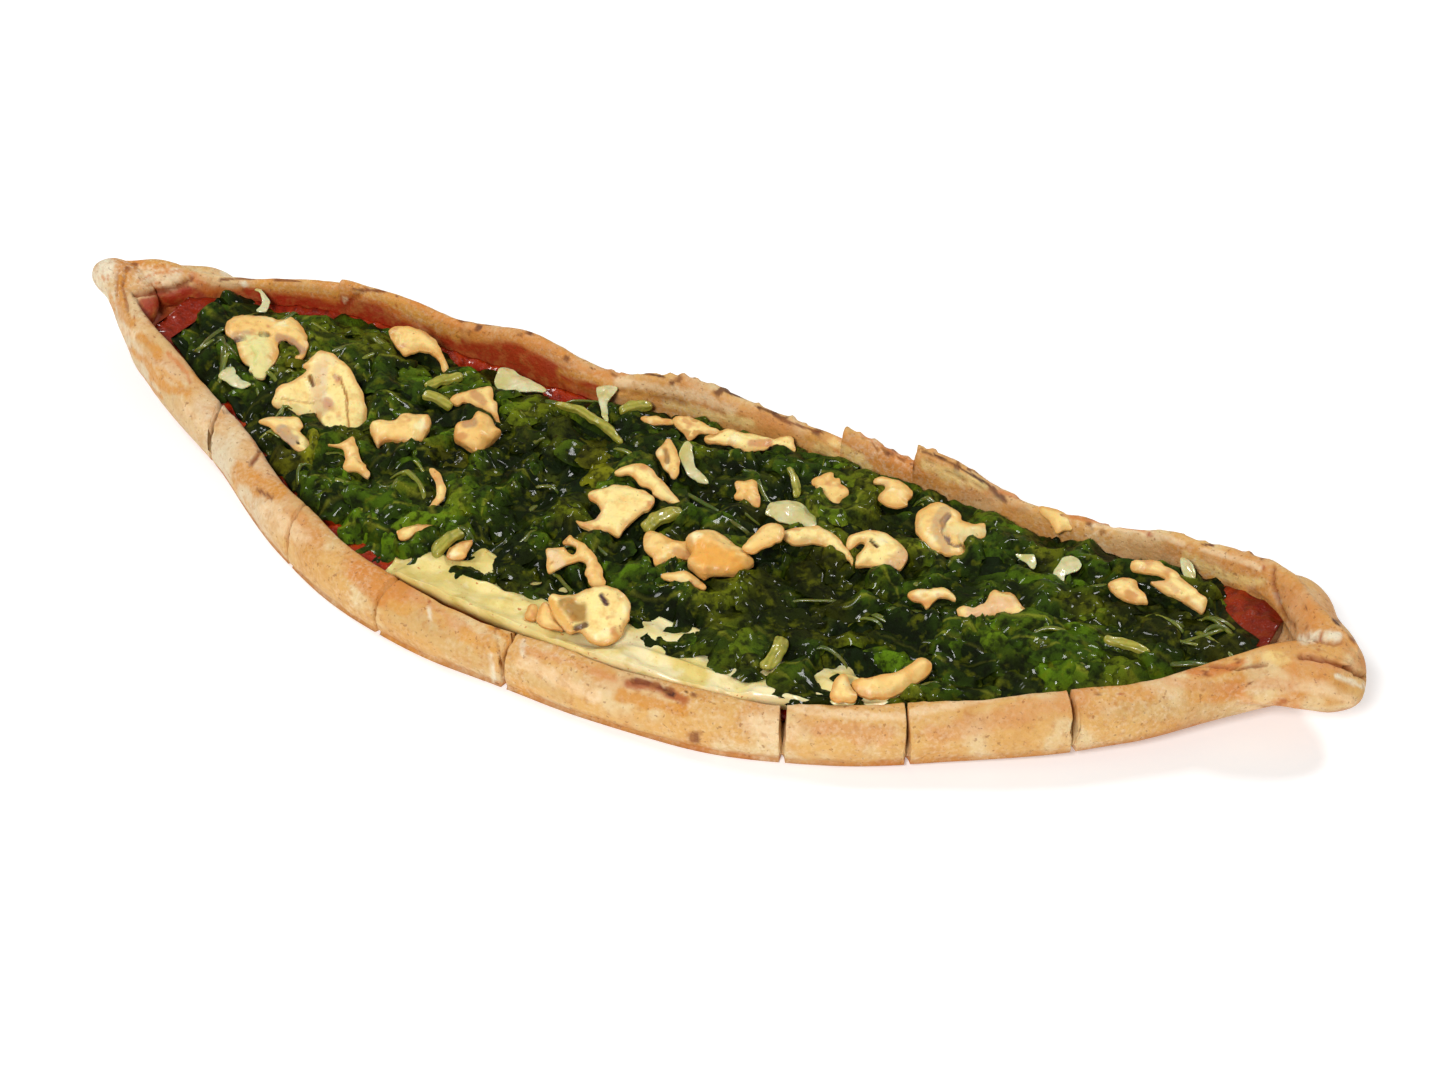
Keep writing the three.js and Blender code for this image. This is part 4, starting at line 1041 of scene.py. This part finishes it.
def flesh_look():
    look = Look("mushroom", 0.5, 0.25)
    look.spots(3.2, 4, 0.5, 0.7, 0.5, (216, 156, 72))
    look.spots(1.3, 2, 0.68, 0.73, 0.5, (140, 84, 40))
    look.bump(2.2, 3, 0.22)
    look.bump(0.6, 2, 0.06)
    return look.finish(Subsurface_Weight=0.3, Subsurface_Scale=0.002, Coat_Weight=0.15, Coat_Roughness=0.2)


def onion_look():
    look = Look("onion", 0.26)
    look.spots(2.4, 3, 0.5, 0.7, 0.4, (176, 164, 104))
    look.bump(2.0, 3, 0.2)
    return look.finish(Subsurface_Weight=0.5, Subsurface_Scale=0.003, Coat_Weight=0.6, Coat_Roughness=0.1)


def stalk_look():
    look = Look("spinach_stalk", 0.32)
    look.spots(2.6, 3, 0.5, 0.7, 0.5, (96, 104, 28))
    look.bump(1.2, 3, 0.2)
    return look.finish(Subsurface_Weight=0.25, Subsurface_Scale=0.002, Coat_Weight=0.6, Coat_Roughness=0.12)


# Bread

def bread_stations():
    """Places of the bread's rings, closer together at the cuts and at the edges of flaps."""
    stations = list(np.arange(BODY_ENDS[0], BODY_ENDS[1] + 0.5, 1.0))
    for at, _ in NEAR_CUTS:
        stations += list(at + np.arange(-1.3, 1.31, 0.2))
    for at, _, _ in FAR_FLAPS:
        stations += [at - 0.6, at - 0.15, at + 0.1]
    stations = np.unique(np.round(stations, 3))
    keep = np.concatenate([[True], np.diff(stations) > 0.12])
    return stations[keep]


def dough_relief(points):
    """How far the dough stands out from its plain form."""
    relief = 0.5 * noise(points, 15, 1) + 0.28 * noise(points, 6.5, 2) + 0.12 * noise(points, 2.6, 3)
    x, y, z = points.T
    for at, _ in NEAR_CUTS:
        close = np.exp(-((x - at) / 2.2) ** 2) * (y < near_wall(x) + 18)
        relief = relief + 0.35 * close * noise(points, 1.5, 4)
    height = z - lift(x)
    top = smooth(height, 12.5, 15) * smooth(y, far_wall(x) - 9, far_wall(x) - 4)
    ragged = np.clip(noise(points * [1, 1, 0.4], 2.4, 5), 0, 1)
    relief = relief + 1.1 * ragged * top * between(x, -56, 192, 10)
    return relief * smooth(height, 0, 3)


def relieved(points, faces):
    mesh = mesh_of("working", points, faces)
    return points + normals_of(mesh) * dough_relief(points)[:, None]


def bread_body():
    x = bread_stations()
    ring = rounded(bread_sections(x), RING_COUNTS)
    y, z = ring[..., 0], ring[..., 1]
    wide = np.broadcast_to(x[:, None], y.shape)
    moved_x, moved_y = slid(wide, y)
    points, faces = loft(np.stack([moved_x, moved_y, z], axis=-1))
    return relieved(points, faces), faces


def bread_roll(rows, twist):
    """A roll of dough along a smooth curve through its rows, with blunt ends."""
    rows = np.array(rows, float)
    padded = np.concatenate([[2 * rows[0] - rows[1]], rows, [2 * rows[-1] - rows[-2]]])
    at = np.linspace(0, len(rows) - 1, ROLL_STEPS + 1)
    i = np.minimum(at.astype(int), len(rows) - 2)
    t = (at - i)[:, None]
    a, b, c, d = (padded[i + k] for k in range(4))
    curve = spline(a, b, c, d, t)
    along_share = at / (len(rows) - 1)
    blunt = np.sqrt(1.04 - np.abs(2 * along_share - 1) ** 5)
    tangent = np.gradient(curve[:, :3], axis=0)
    level = np.stack([-tangent[:, 1], tangent[:, 0], np.zeros(len(at))], axis=1)
    level /= np.linalg.norm(level, axis=1)[:, None]
    angle = around(ROLL_SIDES)
    fold = 1 + 0.07 * np.cos(2 * angle[None, :] + twist * along_share[:, None])
    radius = (blunt * curve[:, 3])[:, None] * fold
    ring = curve[:, None, :3] + level[:, None] * (radius * np.cos(angle))[..., None]
    ring[..., 2] += radius * np.sin(angle)
    points, faces = loft(ring)
    return relieved(points, faces), faces


def bread_mesh():
    mesh = mesh_of("crust_body", *bread_body())
    for rows, twist in zip(ROLLS, ROLL_TWISTS):
        roll = linked("roll", mesh_of("roll", *bread_roll(rows, twist)))
        mesh = with_modifier(mesh, "BOOLEAN", operation="UNION", solver="MANIFOLD", object=roll)
        bpy.data.objects.remove(roll)
    points = points_of(mesh)
    ends = smooth(np.abs(points[:, 0]), 176, 190)[:, None]
    set_points(mesh, relaxed(points, edges_of(mesh), 3, 0.5 * ends))
    points, normals = points_of(mesh), normals_of(mesh)
    depth = np.zeros(len(points))
    pixels = in_picture(points)
    for view, lines in GROOVES.items():
        for half_width, deep, *line in lines:
            depth = np.maximum(depth, deep * dab(points, pixels, view, half_width, line))
    depth *= facing_camera(points, normals)
    set_points(mesh, points - normals * depth[:, None])
    # The groove attribute is the mask of the painted shade in the folds
    mark(mesh, np.clip(depth / 1.5, 0, 1), "groove")
    return mesh


def facing_camera(points, normals):
    """Share of the bread's surface that the camera sees, without its far side's foot."""
    towards = CAMERA_PLACE - points
    towards /= np.linalg.norm(towards, axis=1)[:, None]
    x, y, z = points.T
    seen = smooth(np.sum(normals * towards, axis=1), -0.05, 0.2)
    return seen * np.where(y < near_wall(x) + 6, 1, smooth(z - lift(x), 6, 8))


def bread_colours(points, normals):
    x, y, z = points.T
    height = z - lift(x)
    near_side = y < 0.5 * (near_wall(x) + far_wall(x))
    far_side = 1 - near_side
    back = -normals[:, 1]

    colours = plain(points, (218, 170, 98))
    colours = mixed(colours, (204, 138, 60), 0.5 * smooth(fractal(points, 14, 11), -0.1, 0.5))
    colours = mixed(colours, (224, 196, 144), 0.9 * smooth(fractal(points, 11, 12), -0.05, 0.35))
    top = smooth(height, 11, 15.5)
    colours = mixed(colours, (206, 134, 76), 0.45 * top * smooth(fractal(points, 9, 14), -0.2, 0.5))
    colours = mixed(colours, (206, 120, 30), 0.7 * smooth(fractal(points, 16, 17), 0.34, 0.62))
    inside = np.where(near_side, smooth(y, near_wall(x) + 8, near_wall(x) + 13),
                      smooth(-y, -far_wall(x) + 4, -far_wall(x) + 8))
    colours = mixed(colours, (206, 126, 46), 0.45 * inside)
    foot = 1 - smooth(height + noise(points, 4, 15), 0.5, 4)
    colours = mixed(colours, (176, 104, 44), 0.7 * foot)

    floury = near_side * smooth(-x, 84, 124) * (1 - 0.7 * smooth(height, 13, 17)) * smooth(height, 2, 5)
    colours = mixed(colours, (220, 206, 174), 0.75 * floury * smooth(fractal(points, 9, 18), -0.6, 0.1))
    warm = far_side * between(x, -182, -40, 16) * smooth(back, -0.5, 0.2) * smooth(height, 10, 14)
    colours = mixed(colours, (212, 128, 40), 0.6 * warm * smooth(fractal(points, 9, 20), -0.6, 0.1))

    crest = far_height(x) + far_rise(x) + 1.2 * noise(points, 6, 19)
    flecks = smooth(noise(points, 5, 22) + 0.5 * noise(points, 1.8, 23), 0.3, 0.55)
    charred = far_side * flecks * smooth(height, crest - 2, crest - 0.6) * between(x, -120, 196, 20)
    colours = mixed(colours, (92, 42, 18), 0.85 * charred)
    under_crest = far_side * smooth(back, 0.2, 0.5) * (1 - smooth(height, crest - 5, crest - 2.5))
    colours = mixed(colours, (164, 40, 8), 0.92 * under_crest * between(x, -190, -36, 14))
    in_hollow = smooth(y, near_wall(x) + 8, near_wall(x) + 11) * smooth(far_wall(x) - y, 6, 8)
    deep = in_hollow * between(x, -208, -172, 5) * (1 - smooth(height, 13, 16))
    colours = mixed(colours, (150, 40, 12), 0.9 * deep)

    pixels = in_picture(points)
    seen = facing_camera(points, normals)
    for view, shade, dabs in BREAD_DABS:
        colour, strength = SHADES[shade]
        for half_width, *line in dabs:
            share = dab(points, pixels, view, half_width, line, 0.5)
            colours = mixed(colours, colour, strength * seen * share)
    return colours


def make_bread():
    mesh = bread_mesh()
    points = points_of(mesh)
    colours = bread_colours(points, normals_of(mesh))
    paint(mesh, colours)
    floured = 0.4 + 0.5 * fractal(points, 16, 21) + 0.6 * smooth(-points[:, 0], 195, 212)
    mark(mesh, np.clip(floured, 0, 1) * smooth(colours.mean(axis=1), 0.16, 0.34), "flour")
    shown("flatbread", mesh, bread_look(), "crust", ["crust"])


# Sauce and cheese

def layer(ends, bottom, top, near, far, steps, across):
    """A closed layer between bottom and top, inside the edges near and far."""
    x = np.linspace(*ends, steps + 1)[:, None]
    y = lerp(near(x), far(x), np.linspace(0, 1, across + 1))
    upper = np.stack([x + 0 * y, y, top(x + 0 * y, y)], axis=-1)[:, ::-1]
    y = lerp(near(x) + 1, far(x) - 1, np.linspace(0, 1, 5))
    lower = np.stack([x + 0 * y, y, bottom(x + 0 * y)], axis=-1)
    return loft(np.concatenate([lower, upper], axis=1))


def make_sauce():
    def top(x, y):
        place = flat(x, y)
        climb = 1.6 * smooth(y, hollow(x)[1] - 4, hollow(x)[1]) * between(x, -180, -40, 10)
        return sauce_top(x, y) + 0.9 * ridges(place, 6, 31) - 0.4 + 0.5 * noise(place, 2.5, 33) + climb

    mesh = mesh_of("sauce", *layer(
        SAUCE_ENDS, lambda x: lift(x) + BASE + GAP + 0.5, top,
        lambda x: hollow(x)[0] + GAP, lambda x: hollow(x)[1] - GAP, *SAUCE_CELLS))
    points = points_of(mesh)
    colours = plain(points, (150, 30, 4))
    colours = mixed(colours, (200, 70, 8), 0.3 + 0.8 * fractal(points, 7, 36))
    colours = mixed(colours, (92, 16, 4), 0.7 * smooth(points[:, 0], 168, 186))
    colours = mixed(colours, (140, 34, 6), smooth(-points[:, 0], 165, 185))
    paint(mesh, colours)
    shown("tomato_sauce", mesh, sauce_look(), "sauce", ["sauce"])


def make_cheese():
    def top(x, y):
        place = flat(x, y)
        folds = 1.3 * ridges(place * [0.6, 1.5, 1], 9, 43) - 0.6
        return cheese_top(x, y) + 0.8 * noise(place, 7, 41) + 0.4 * noise(place, 3, 42) + folds

    mesh = mesh_of("cheese", *layer(
        CHEESE_ENDS, lambda x: lift(x) + SAUCE_TOP + 0.4 + GAP, top, cheese_near, cheese_far, *CHEESE_CELLS))
    points = points_of(mesh)
    colours = plain(points, (242, 222, 148))
    colours = mixed(colours, (214, 190, 98), 0.4 + 0.8 * fractal(points, 9, 44))
    curds = smooth(points[:, 0] + 14 * noise(points, 9, 45), 0, 22)
    colours = mixed(colours, (246, 232, 184), 0.8 * curds * smooth(fractal(points, 7, 46), -0.3, 0.3))
    paint(mesh, colours)
    shown("melted_cheese", mesh, cheese_look(), "cheese", ["cheese"])


# Where the toppings lie

def seat(node, row):
    """How a topping's solid is turned, its middle in its own axes, and the topping's outline there."""
    _, _, heading, lean, length, width, _ = row
    hinge = Vector((-TOWARDS[1], TOWARDS[0], 0))
    tip = Matrix.Rotation(np.radians(lean), 3, hinge)
    turn = np.array(tip @ Matrix.Rotation(np.radians(heading), 3, "Z"))
    solid = points_of(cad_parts[node].data) @ turn
    middle = 0.5 * (solid.min(0) + solid.max(0))
    if node not in TRACED:
        corners = [(-length, -width), (length, -width), (length, width), (-length, width)]
        return turn, middle, 0.5 * np.array(corners)
    view, places = TRACED[node]
    centre = turn @ middle
    traced = (onto_plane(pixels_of(view, places), centre, turn[:, 2]) - centre) @ turn
    return turn, middle, rounded(traced[None, :, :2], [OUTLINE_STEPS] * len(places))[0]


def footprint(turn, middle, outline):
    """Outline of a topping as seen from above."""
    return ((np.column_stack([outline, np.zeros(len(outline))]) + middle) @ turn.T)[:, :2]


def within(places, shape):
    """Which places lie inside a closed shape."""
    after = np.roll(shape, -1, axis=0)
    x, y = places[:, :1], places[:, 1:]
    crossed = (shape[:, 1] > y) != (after[:, 1] > y)
    rise = np.where(after[:, 1] == shape[:, 1], 1e-9, after[:, 1] - shape[:, 1])
    reach = shape[:, 0] + (y - shape[:, 1]) * (after[:, 0] - shape[:, 0]) / rise
    return (crossed & (x < reach)).sum(axis=1) % 2 == 1


def inset_from(points, outline):
    """Distance of each point from a closed outline, in the plane."""
    return near_line(points[:, :2], np.concatenate([outline, outline[:1]]))


def clear_of_toppings(x, y):
    """From 0 under a topping to 1 just outside it."""
    places = np.stack([x, y], axis=-1)
    free = np.ones(places.shape[:-1])
    for shape in FOOTPRINTS:
        close = np.all((places > shape.min(0) - 2) & (places < shape.max(0) + 2), axis=-1)
        if close.any():
            part = places[close]
            distance = inset_from(part, shape)
            distance = np.where(within(part, shape), -distance, distance)
            free[close] = np.minimum(free[close], smooth(distance, -1.3, 0.9))
    return free


# Spinach

def clumps(x, y):
    """How far the leaves stand up in clumps, with furrows between them."""
    place = flat(x, y)
    place = place + 3 * np.stack([noise(place, 9, 55), noise(place, 9, 56), 0 * x], axis=-1)
    return 3.2 * ridges(place, 17, 57) - 1.7


def ground(x, y):
    """Height of what a leaf lies on: the heap, or the sauce and cheese outside it."""
    inside = smooth(y, heap_near(x) - 2.5, heap_near(x) + 1.5)
    inside = inside * (1 - smooth(y, heap_far(x) - 1.5, heap_far(x) + 2.5)) * between(x, -186, 198, 7)
    on_cheese = cheese_share(x) * (y < cheese_far(x))
    outside = lerp(sauce_top(x, y), cheese_top(x, y), on_cheese) + 0.2
    heap = lerp(core_top(x, y), heap_top(x, y) + clumps(x, y), clear_of_toppings(x, y))
    return lerp(outside, heap, inside)


def make_core():
    def top(x, y):
        place = flat(x, y)
        wrinkles = 1.5 * ridges(place, 6, 51) - 1.4 + 0.7 * noise(place, 2.4, 52)
        free = clear_of_toppings(x, y)
        return lerp(core_top(x, y), heap_top(x, y) - 0.4 + wrinkles + clumps(x, y), free)

    mesh = mesh_of("core", *layer(HEAP_ENDS, heap_bottom, top, heap_near, heap_far, *HEAP_CELLS))
    points = points_of(mesh)
    colours = plain(points, (20, 32, 6))
    colours = mixed(colours, (62, 70, 14), smooth(fractal(points, 9, 54), 0.1, 0.7))
    paint(mesh, colours)
    return mesh


def joined(name, parts):
    """One painted mesh from many parts, each with points, groups of faces and colours."""
    points, groups, colours = zip(*parts)
    first = np.cumsum([0] + [len(part) for part in points])
    faces = [np.concatenate([group + start for group, start in zip(same, first)]) for same in zip(*groups)]
    mesh = mesh_of(name, np.concatenate(points), faces)
    paint(mesh, np.concatenate(colours))
    return mesh


def make_leaves(seed):
    """Wilted leaves draped on the heap, each a wavy sheet whose edges tuck in."""
    rng = np.random.default_rng(seed)
    rows, columns = LEAF_CELLS
    u, v = np.meshgrid(np.linspace(-1, 1, rows), np.linspace(-1, 1, columns), indexing="ij")
    quads = grid_faces(rows, columns, False)
    leaves = []
    while len(leaves) < LEAF_COUNT:
        x = rng.uniform(HEAP_ENDS[0] + 2, HEAP_ENDS[1] - 2)
        near, far = heap_near(np.array(x)), heap_far(np.array(x))
        y = rng.uniform(near - 1, far + 1)
        if rng.random() > (far - near) / 105:
            continue
        length, width = rng.uniform(*LEAF_LENGTHS), rng.uniform(*LEAF_WIDTHS)
        heading = np.radians(rng.normal(4, 24 if x > 60 else 60))
        phases = rng.uniform(0, 6.28, 4)
        lobes = 1 + 0.22 * np.sin(3.3 * u + phases[0]) + 0.13 * np.sin(8 * u + phases[1])
        half = np.sqrt(np.clip(1 - np.abs(u) ** 2.3, 0.02, 1)) * lobes
        px = 0.5 * length * u
        py = 0.5 * width * v * half + rng.normal(0, 0.1) * length * (1 - u * u)
        wx = x + px * np.cos(heading) - py * np.sin(heading)
        wy = y + px * np.sin(heading) + py * np.cos(heading)
        own = flat(wx, wy) + np.array([0, 0, rng.uniform(0, 500)])
        wx = wx + 0.9 * noise(own, 4, seed + 1)
        wy = wy + 0.9 * noise(own, 4, seed + 2)
        inner_near, inner_far, _ = hollow(wx)
        wy = np.clip(wy, inner_near + 0.3, inner_far - 0.3)
        crumple = 1.5 * ridges(own, 6.5, seed + 3) + 0.8 * ridges(own, 3.2, seed + 4)
        crumple = crumple + 0.3 * noise(own, 1.6, seed + 5)
        tuck = smooth(np.maximum(np.abs(u), np.abs(v)), 0.55, 1.0)
        tilt = rng.normal(0, 0.13) * px + rng.normal(0, 0.16) * py
        rise = rng.uniform(-0.6, 1.5) + crumple - 0.8 + np.clip(tilt, -1.5, 1.8) - 2.4 * tuck
        z = ground(wx, wy) + lerp(-1.6, rise, clear_of_toppings(wx, wy))
        points = np.stack([wx, wy, z], axis=-1).reshape(-1, 3)
        green = LEAF_GREENS[rng.choice(len(LEAF_GREENS), p=GREEN_SHARES)]
        colours = plain(points, green) * rng.uniform(0.7, 1.7)
        colours = mixed(colours, (126, 128, 36), 0.6 * (np.abs(v) < 0.12).ravel() * (rng.random() < 0.5))
        # shade is painted light and shade: darker in the furrows between clumps and in each leaf's creases,
        # lighter on its crests
        shade = smooth(crumple, 0.3, 1.9) * smooth(clumps(wx, wy), -1.8, 0.6)
        colours = mixed(colours, (104, 104, 14), 0.5 * smooth(fractal(points, 20, seed + 6), 0.1, 0.6))
        # Painted shade and painted light, scaled by the mask above
        colours = colours * lerp(0.3, 1.55, shade.reshape(-1, 1))
        leaves.append((points, [quads], colours))
    return joined("leaves", leaves)


def make_stems(seed):
    """Thin leaf stems that lie among the leaves, each bent and tucked in at its ends."""
    rng = np.random.default_rng(seed)
    along_share = np.linspace(-1, 1, STEM_STEPS)
    angle = around(STEM_SIDES)
    stems = []
    while len(stems) < STEM_COUNT:
        x = rng.uniform(HEAP_ENDS[0] + 8, HEAP_ENDS[1] - 8)
        y = rng.uniform(heap_near(np.array(x)) + 3, heap_far(np.array(x)) - 3)
        if clear_of_toppings(np.array([x]), np.array([y]))[0] < 0.9:
            continue
        length, radius = rng.uniform(*STEM_LENGTHS), rng.uniform(*STEM_RADII)
        heading = np.radians(rng.normal(8, 20 if x > 60 else 55))
        bend = rng.normal(0, 0.12) * length * (1 - along_share**2)
        bend = bend + 0.5 * rng.normal(size=STEM_STEPS).cumsum() / STEM_STEPS
        px = x + 0.5 * length * along_share * np.cos(heading) - bend * np.sin(heading)
        py = y + 0.5 * length * along_share * np.sin(heading) + bend * np.cos(heading)
        inner_near, inner_far, _ = hollow(px)
        py = np.clip(py, inner_near + 1.5, inner_far - 1.5)
        pz = ground(px, py) + rng.uniform(0.3, 1.3) - 2.2 * np.abs(along_share) ** 3
        flatness = rng.uniform(0.5, 0.9)
        ring = np.stack([px, py, pz], axis=-1)[:, None, :] + np.zeros((STEM_STEPS, STEM_SIDES, 3))
        ring[..., 0] -= radius * np.sin(heading) * np.cos(angle)
        ring[..., 1] += radius * np.cos(heading) * np.cos(angle)
        ring[..., 2] += radius * flatness * np.sin(angle)
        points, faces = loft(ring)
        colours = plain(points, (128, 128, 34)) * rng.uniform(0.4, 1.5)
        colours = mixed(colours, (60, 84, 16), 0.5 + 0.8 * fractal(points, 5, seed + 1))
        stems.append((points, faces, colours))
    return joined("stems", stems)


def make_spinach():
    green = leaf_look()
    shown("spinach_heap", make_core(), green, "spinach", ["spinach"])
    shown("spinach_leaves", make_leaves(seed=61), green, "spinach", ["spinach"])
    shown("spinach_stems", make_stems(seed=67), stalk_look(), "spinach", ["spinach"])


# Toppings

def slab(outline, thick):
    """A flat closed body over an outline."""
    count = len(outline)
    ring = np.arange(count)
    after = (ring + 1) % count
    upper = np.column_stack([outline, np.full(count, 0.5 * thick)])
    lower = np.column_stack([outline, np.full(count, -0.5 * thick)])
    sides = np.stack([ring + count, after + count, after, ring], axis=1)
    return mesh_of("slab", np.concatenate([upper, lower]), [ring[None], (ring[::-1] + count)[None], sides])


def rod(length, width, thick):
    """A bent stalk with flat sides and grooves."""
    t = np.linspace(0, 1, 40)
    x = lerp(-0.5 * length, 0.5 * length, t)
    y = length * np.interp(t, [0, 0.35, 0.7, 1], [0, 0.06, 0.04, -0.04])
    angle = around(24)
    groove = 1 + 0.1 * np.cos(5 * angle)
    blunt = np.sqrt(1.05 - np.abs(2 * t - 1) ** 8)[:, None]
    ring_y = y[:, None] + 0.5 * width * blunt * np.cos(angle) * groove
    ring_z = 0.5 * thick * blunt * np.sin(angle) * groove + 0.25 * np.sin(np.pi * t)[:, None]
    rings = np.stack([np.broadcast_to(x[:, None], ring_y.shape), ring_y, ring_z], axis=-1)
    return mesh_of("rod", *loft(rings[:, ::-1]))


def flesh_colours(points, local, inset, tone):
    """Colours of a mushroom piece, browner towards its rim, partly browned flesh and partly painted shade,
    and browner below.
    """
    colours = plain(points, (252, 228, 152))
    colours = mixed(colours, (236, 182, 98), tone + 0.5 * fractal(local, 6, 71))
    colours = mixed(colours, (252, 236, 178), smooth(fractal(local, 5, 74), 0.25, 0.6))
    colours = mixed(colours, (206, 138, 84), 0.8 * smooth(fractal(local, 4, 75), 0.28, 0.7))
    # The rim is partly browned flesh and partly painted shade along the edge
    rim = 1 - smooth(inset + 0.5 * noise(local, 2.5, 76), 0.2, 1.8)
    colours = mixed(colours, (206, 140, 60), 0.7 * rim)
    return mixed(colours, (190, 136, 70), 0.8 * (points[:, 2] < -0.2))


def make_toppings(kind, rows, material):
    """Each topping follows its tracing, and bends a little so that no two are alike."""
    for number, row in enumerate(rows, 1):
        node = f"{kind}_{number}"
        turn, middle, outline = SEATS[node]
        length, width, thick = row[-3:]
        if kind == "stalk":
            mesh = rod(length, width, thick)
            points = points_of(mesh)
        else:
            mesh = with_modifier(slab(outline, thick), "REMESH", mode="VOXEL", voxel_size=VOXEL / 1000)
            points = points_of(mesh)
            inset = inset_from(points, outline)
            thin = 0.3 + 0.5 * smooth(inset, 0, 3)
            if thick > DOMED_FROM:
                thin = 0.2 + 0.8 * np.sqrt(np.clip(inset / (0.42 * width), 0, 1))
            points[:, 2] *= thin
            points = relaxed(points, edges_of(mesh), 2)
        local = points + np.array([17.0 * number, 0, 0])
        bend = 1.1 * noise(local, 9, 83) + 0.3 * noise(local, 4, 84)
        waver = [noise(local, 2.4, 81), noise(local, 2.4, 82), noise(local, 2, 85)]
        points = points + 0.4 * np.stack(waver, axis=1)
        points[:, 2] += bend
        world = (points + middle) @ turn.T
        if kind == "mushroom":
            tone = np.random.default_rng(100 + number).uniform(-0.2, 0.7)
            colours = flesh_colours(points, local, inset, tone)
        elif kind == "onion":
            patches = 0.5 + 0.8 * fractal(local, 5, 77)
            colours = mixed(plain(points, (228, 218, 174)), (200, 188, 108), patches)
        else:
            stripes = 0.5 + 0.5 * np.sin(4 * points[:, 1])
            colours = mixed(plain(points, (150, 146, 44)), (180, 170, 72), stripes)
        sunk = np.zeros(len(points))
        for colour, strength, half_width, depth, *line in MARKS.get(node, []):
            share = dab(world, in_picture(world), TRACED[node][0], half_width, line)
            share = share * smooth(points[:, 2], -0.3, 0.4)
            colours = mixed(colours, colour, strength * share)
            sunk += depth * share
        set_points(mesh, world - sunk[:, None] * turn[:, 2])
        paint(mesh, colours)
        shown(f"{kind}_piece_{number}", mesh, material, kind, [node])


# Camera, lights and floor

WHITE = (1, 1, 1, 1)
FLOOR_HALF = 4000


def make_camera():
    data = bpy.data.cameras.new("camera")
    data.sensor_width = 36
    data.lens = data.sensor_width * FOCAL / PICTURE[0]
    data.clip_start = 0.05
    camera = linked("camera", data)
    camera.location = CAMERA_PLACE / 1000
    ahead = Vector(CAMERA_AIM / 1000) - camera.location
    camera.rotation_euler = ahead.to_track_quat("-Z", "Y").to_euler()
    bpy.context.scene.camera = camera


def make_light(name, place, size, power):
    data = bpy.data.lights.new(name, "AREA")
    data.shape = "DISK"
    data.size = size
    data.energy = power
    light = linked(name, data)
    light.location = place
    light.rotation_euler = (-Vector(place)).to_track_quat("-Z", "Y").to_euler()


def make_stage():
    world = bpy.data.worlds.new("studio")
    world.use_nodes = True
    set_inputs(world.node_tree.nodes["Background"], Color=WHITE, Strength=0.2)
    bpy.context.scene.world = world
    bpy.context.scene.view_settings.view_transform = "Standard"
    make_light("front", (0.25, -1.1, 1.0), 0.35, 15)
    make_light("left", (-1.1, 0.1, 0.9), 0.3, 5.5)
    make_light("back", (0.5, 0.9, 1.1), 0.3, 8)
    corners = [(x * FLOOR_HALF, y * FLOOR_HALF, 0) for x, y in ((-1, -1), (1, -1), (1, 1), (-1, 1))]
    floor = linked("floor", mesh_of("floor", corners, [np.array([[0, 1, 2, 3]])]))
    material = bpy.data.materials.new("floor")
    material.use_nodes = True
    set_inputs(material.node_tree.nodes["Principled BSDF"], Base_Color=(0.86, 0.86, 0.86, 1),
               Roughness=0.9, Emission_Color=WHITE, Emission_Strength=0.3)
    floor.data.materials.append(material)


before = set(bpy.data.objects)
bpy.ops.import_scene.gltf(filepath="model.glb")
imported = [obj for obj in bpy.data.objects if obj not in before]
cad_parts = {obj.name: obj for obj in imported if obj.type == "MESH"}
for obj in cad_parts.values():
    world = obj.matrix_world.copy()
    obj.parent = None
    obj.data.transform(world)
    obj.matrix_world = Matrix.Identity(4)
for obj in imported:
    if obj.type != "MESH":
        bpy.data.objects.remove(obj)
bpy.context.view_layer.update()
KINDS = {"mushroom": (MUSHROOMS, flesh_look), "onion": (ONIONS, onion_look), "stalk": (STALKS, stalk_look)}
SEATS = {
    f"{kind}_{number}": seat(f"{kind}_{number}", row)
    for kind, (rows, _) in KINDS.items() for number, row in enumerate(rows, 1)
}
FOOTPRINTS = [footprint(*place) for place in SEATS.values()]
make_camera()
make_stage()
make_bread()
make_sauce()
make_cheese()
make_spinach()
for kind, (rows, look) in KINDS.items():
    make_toppings(kind, rows, look())
bpy.context.view_layer.update()
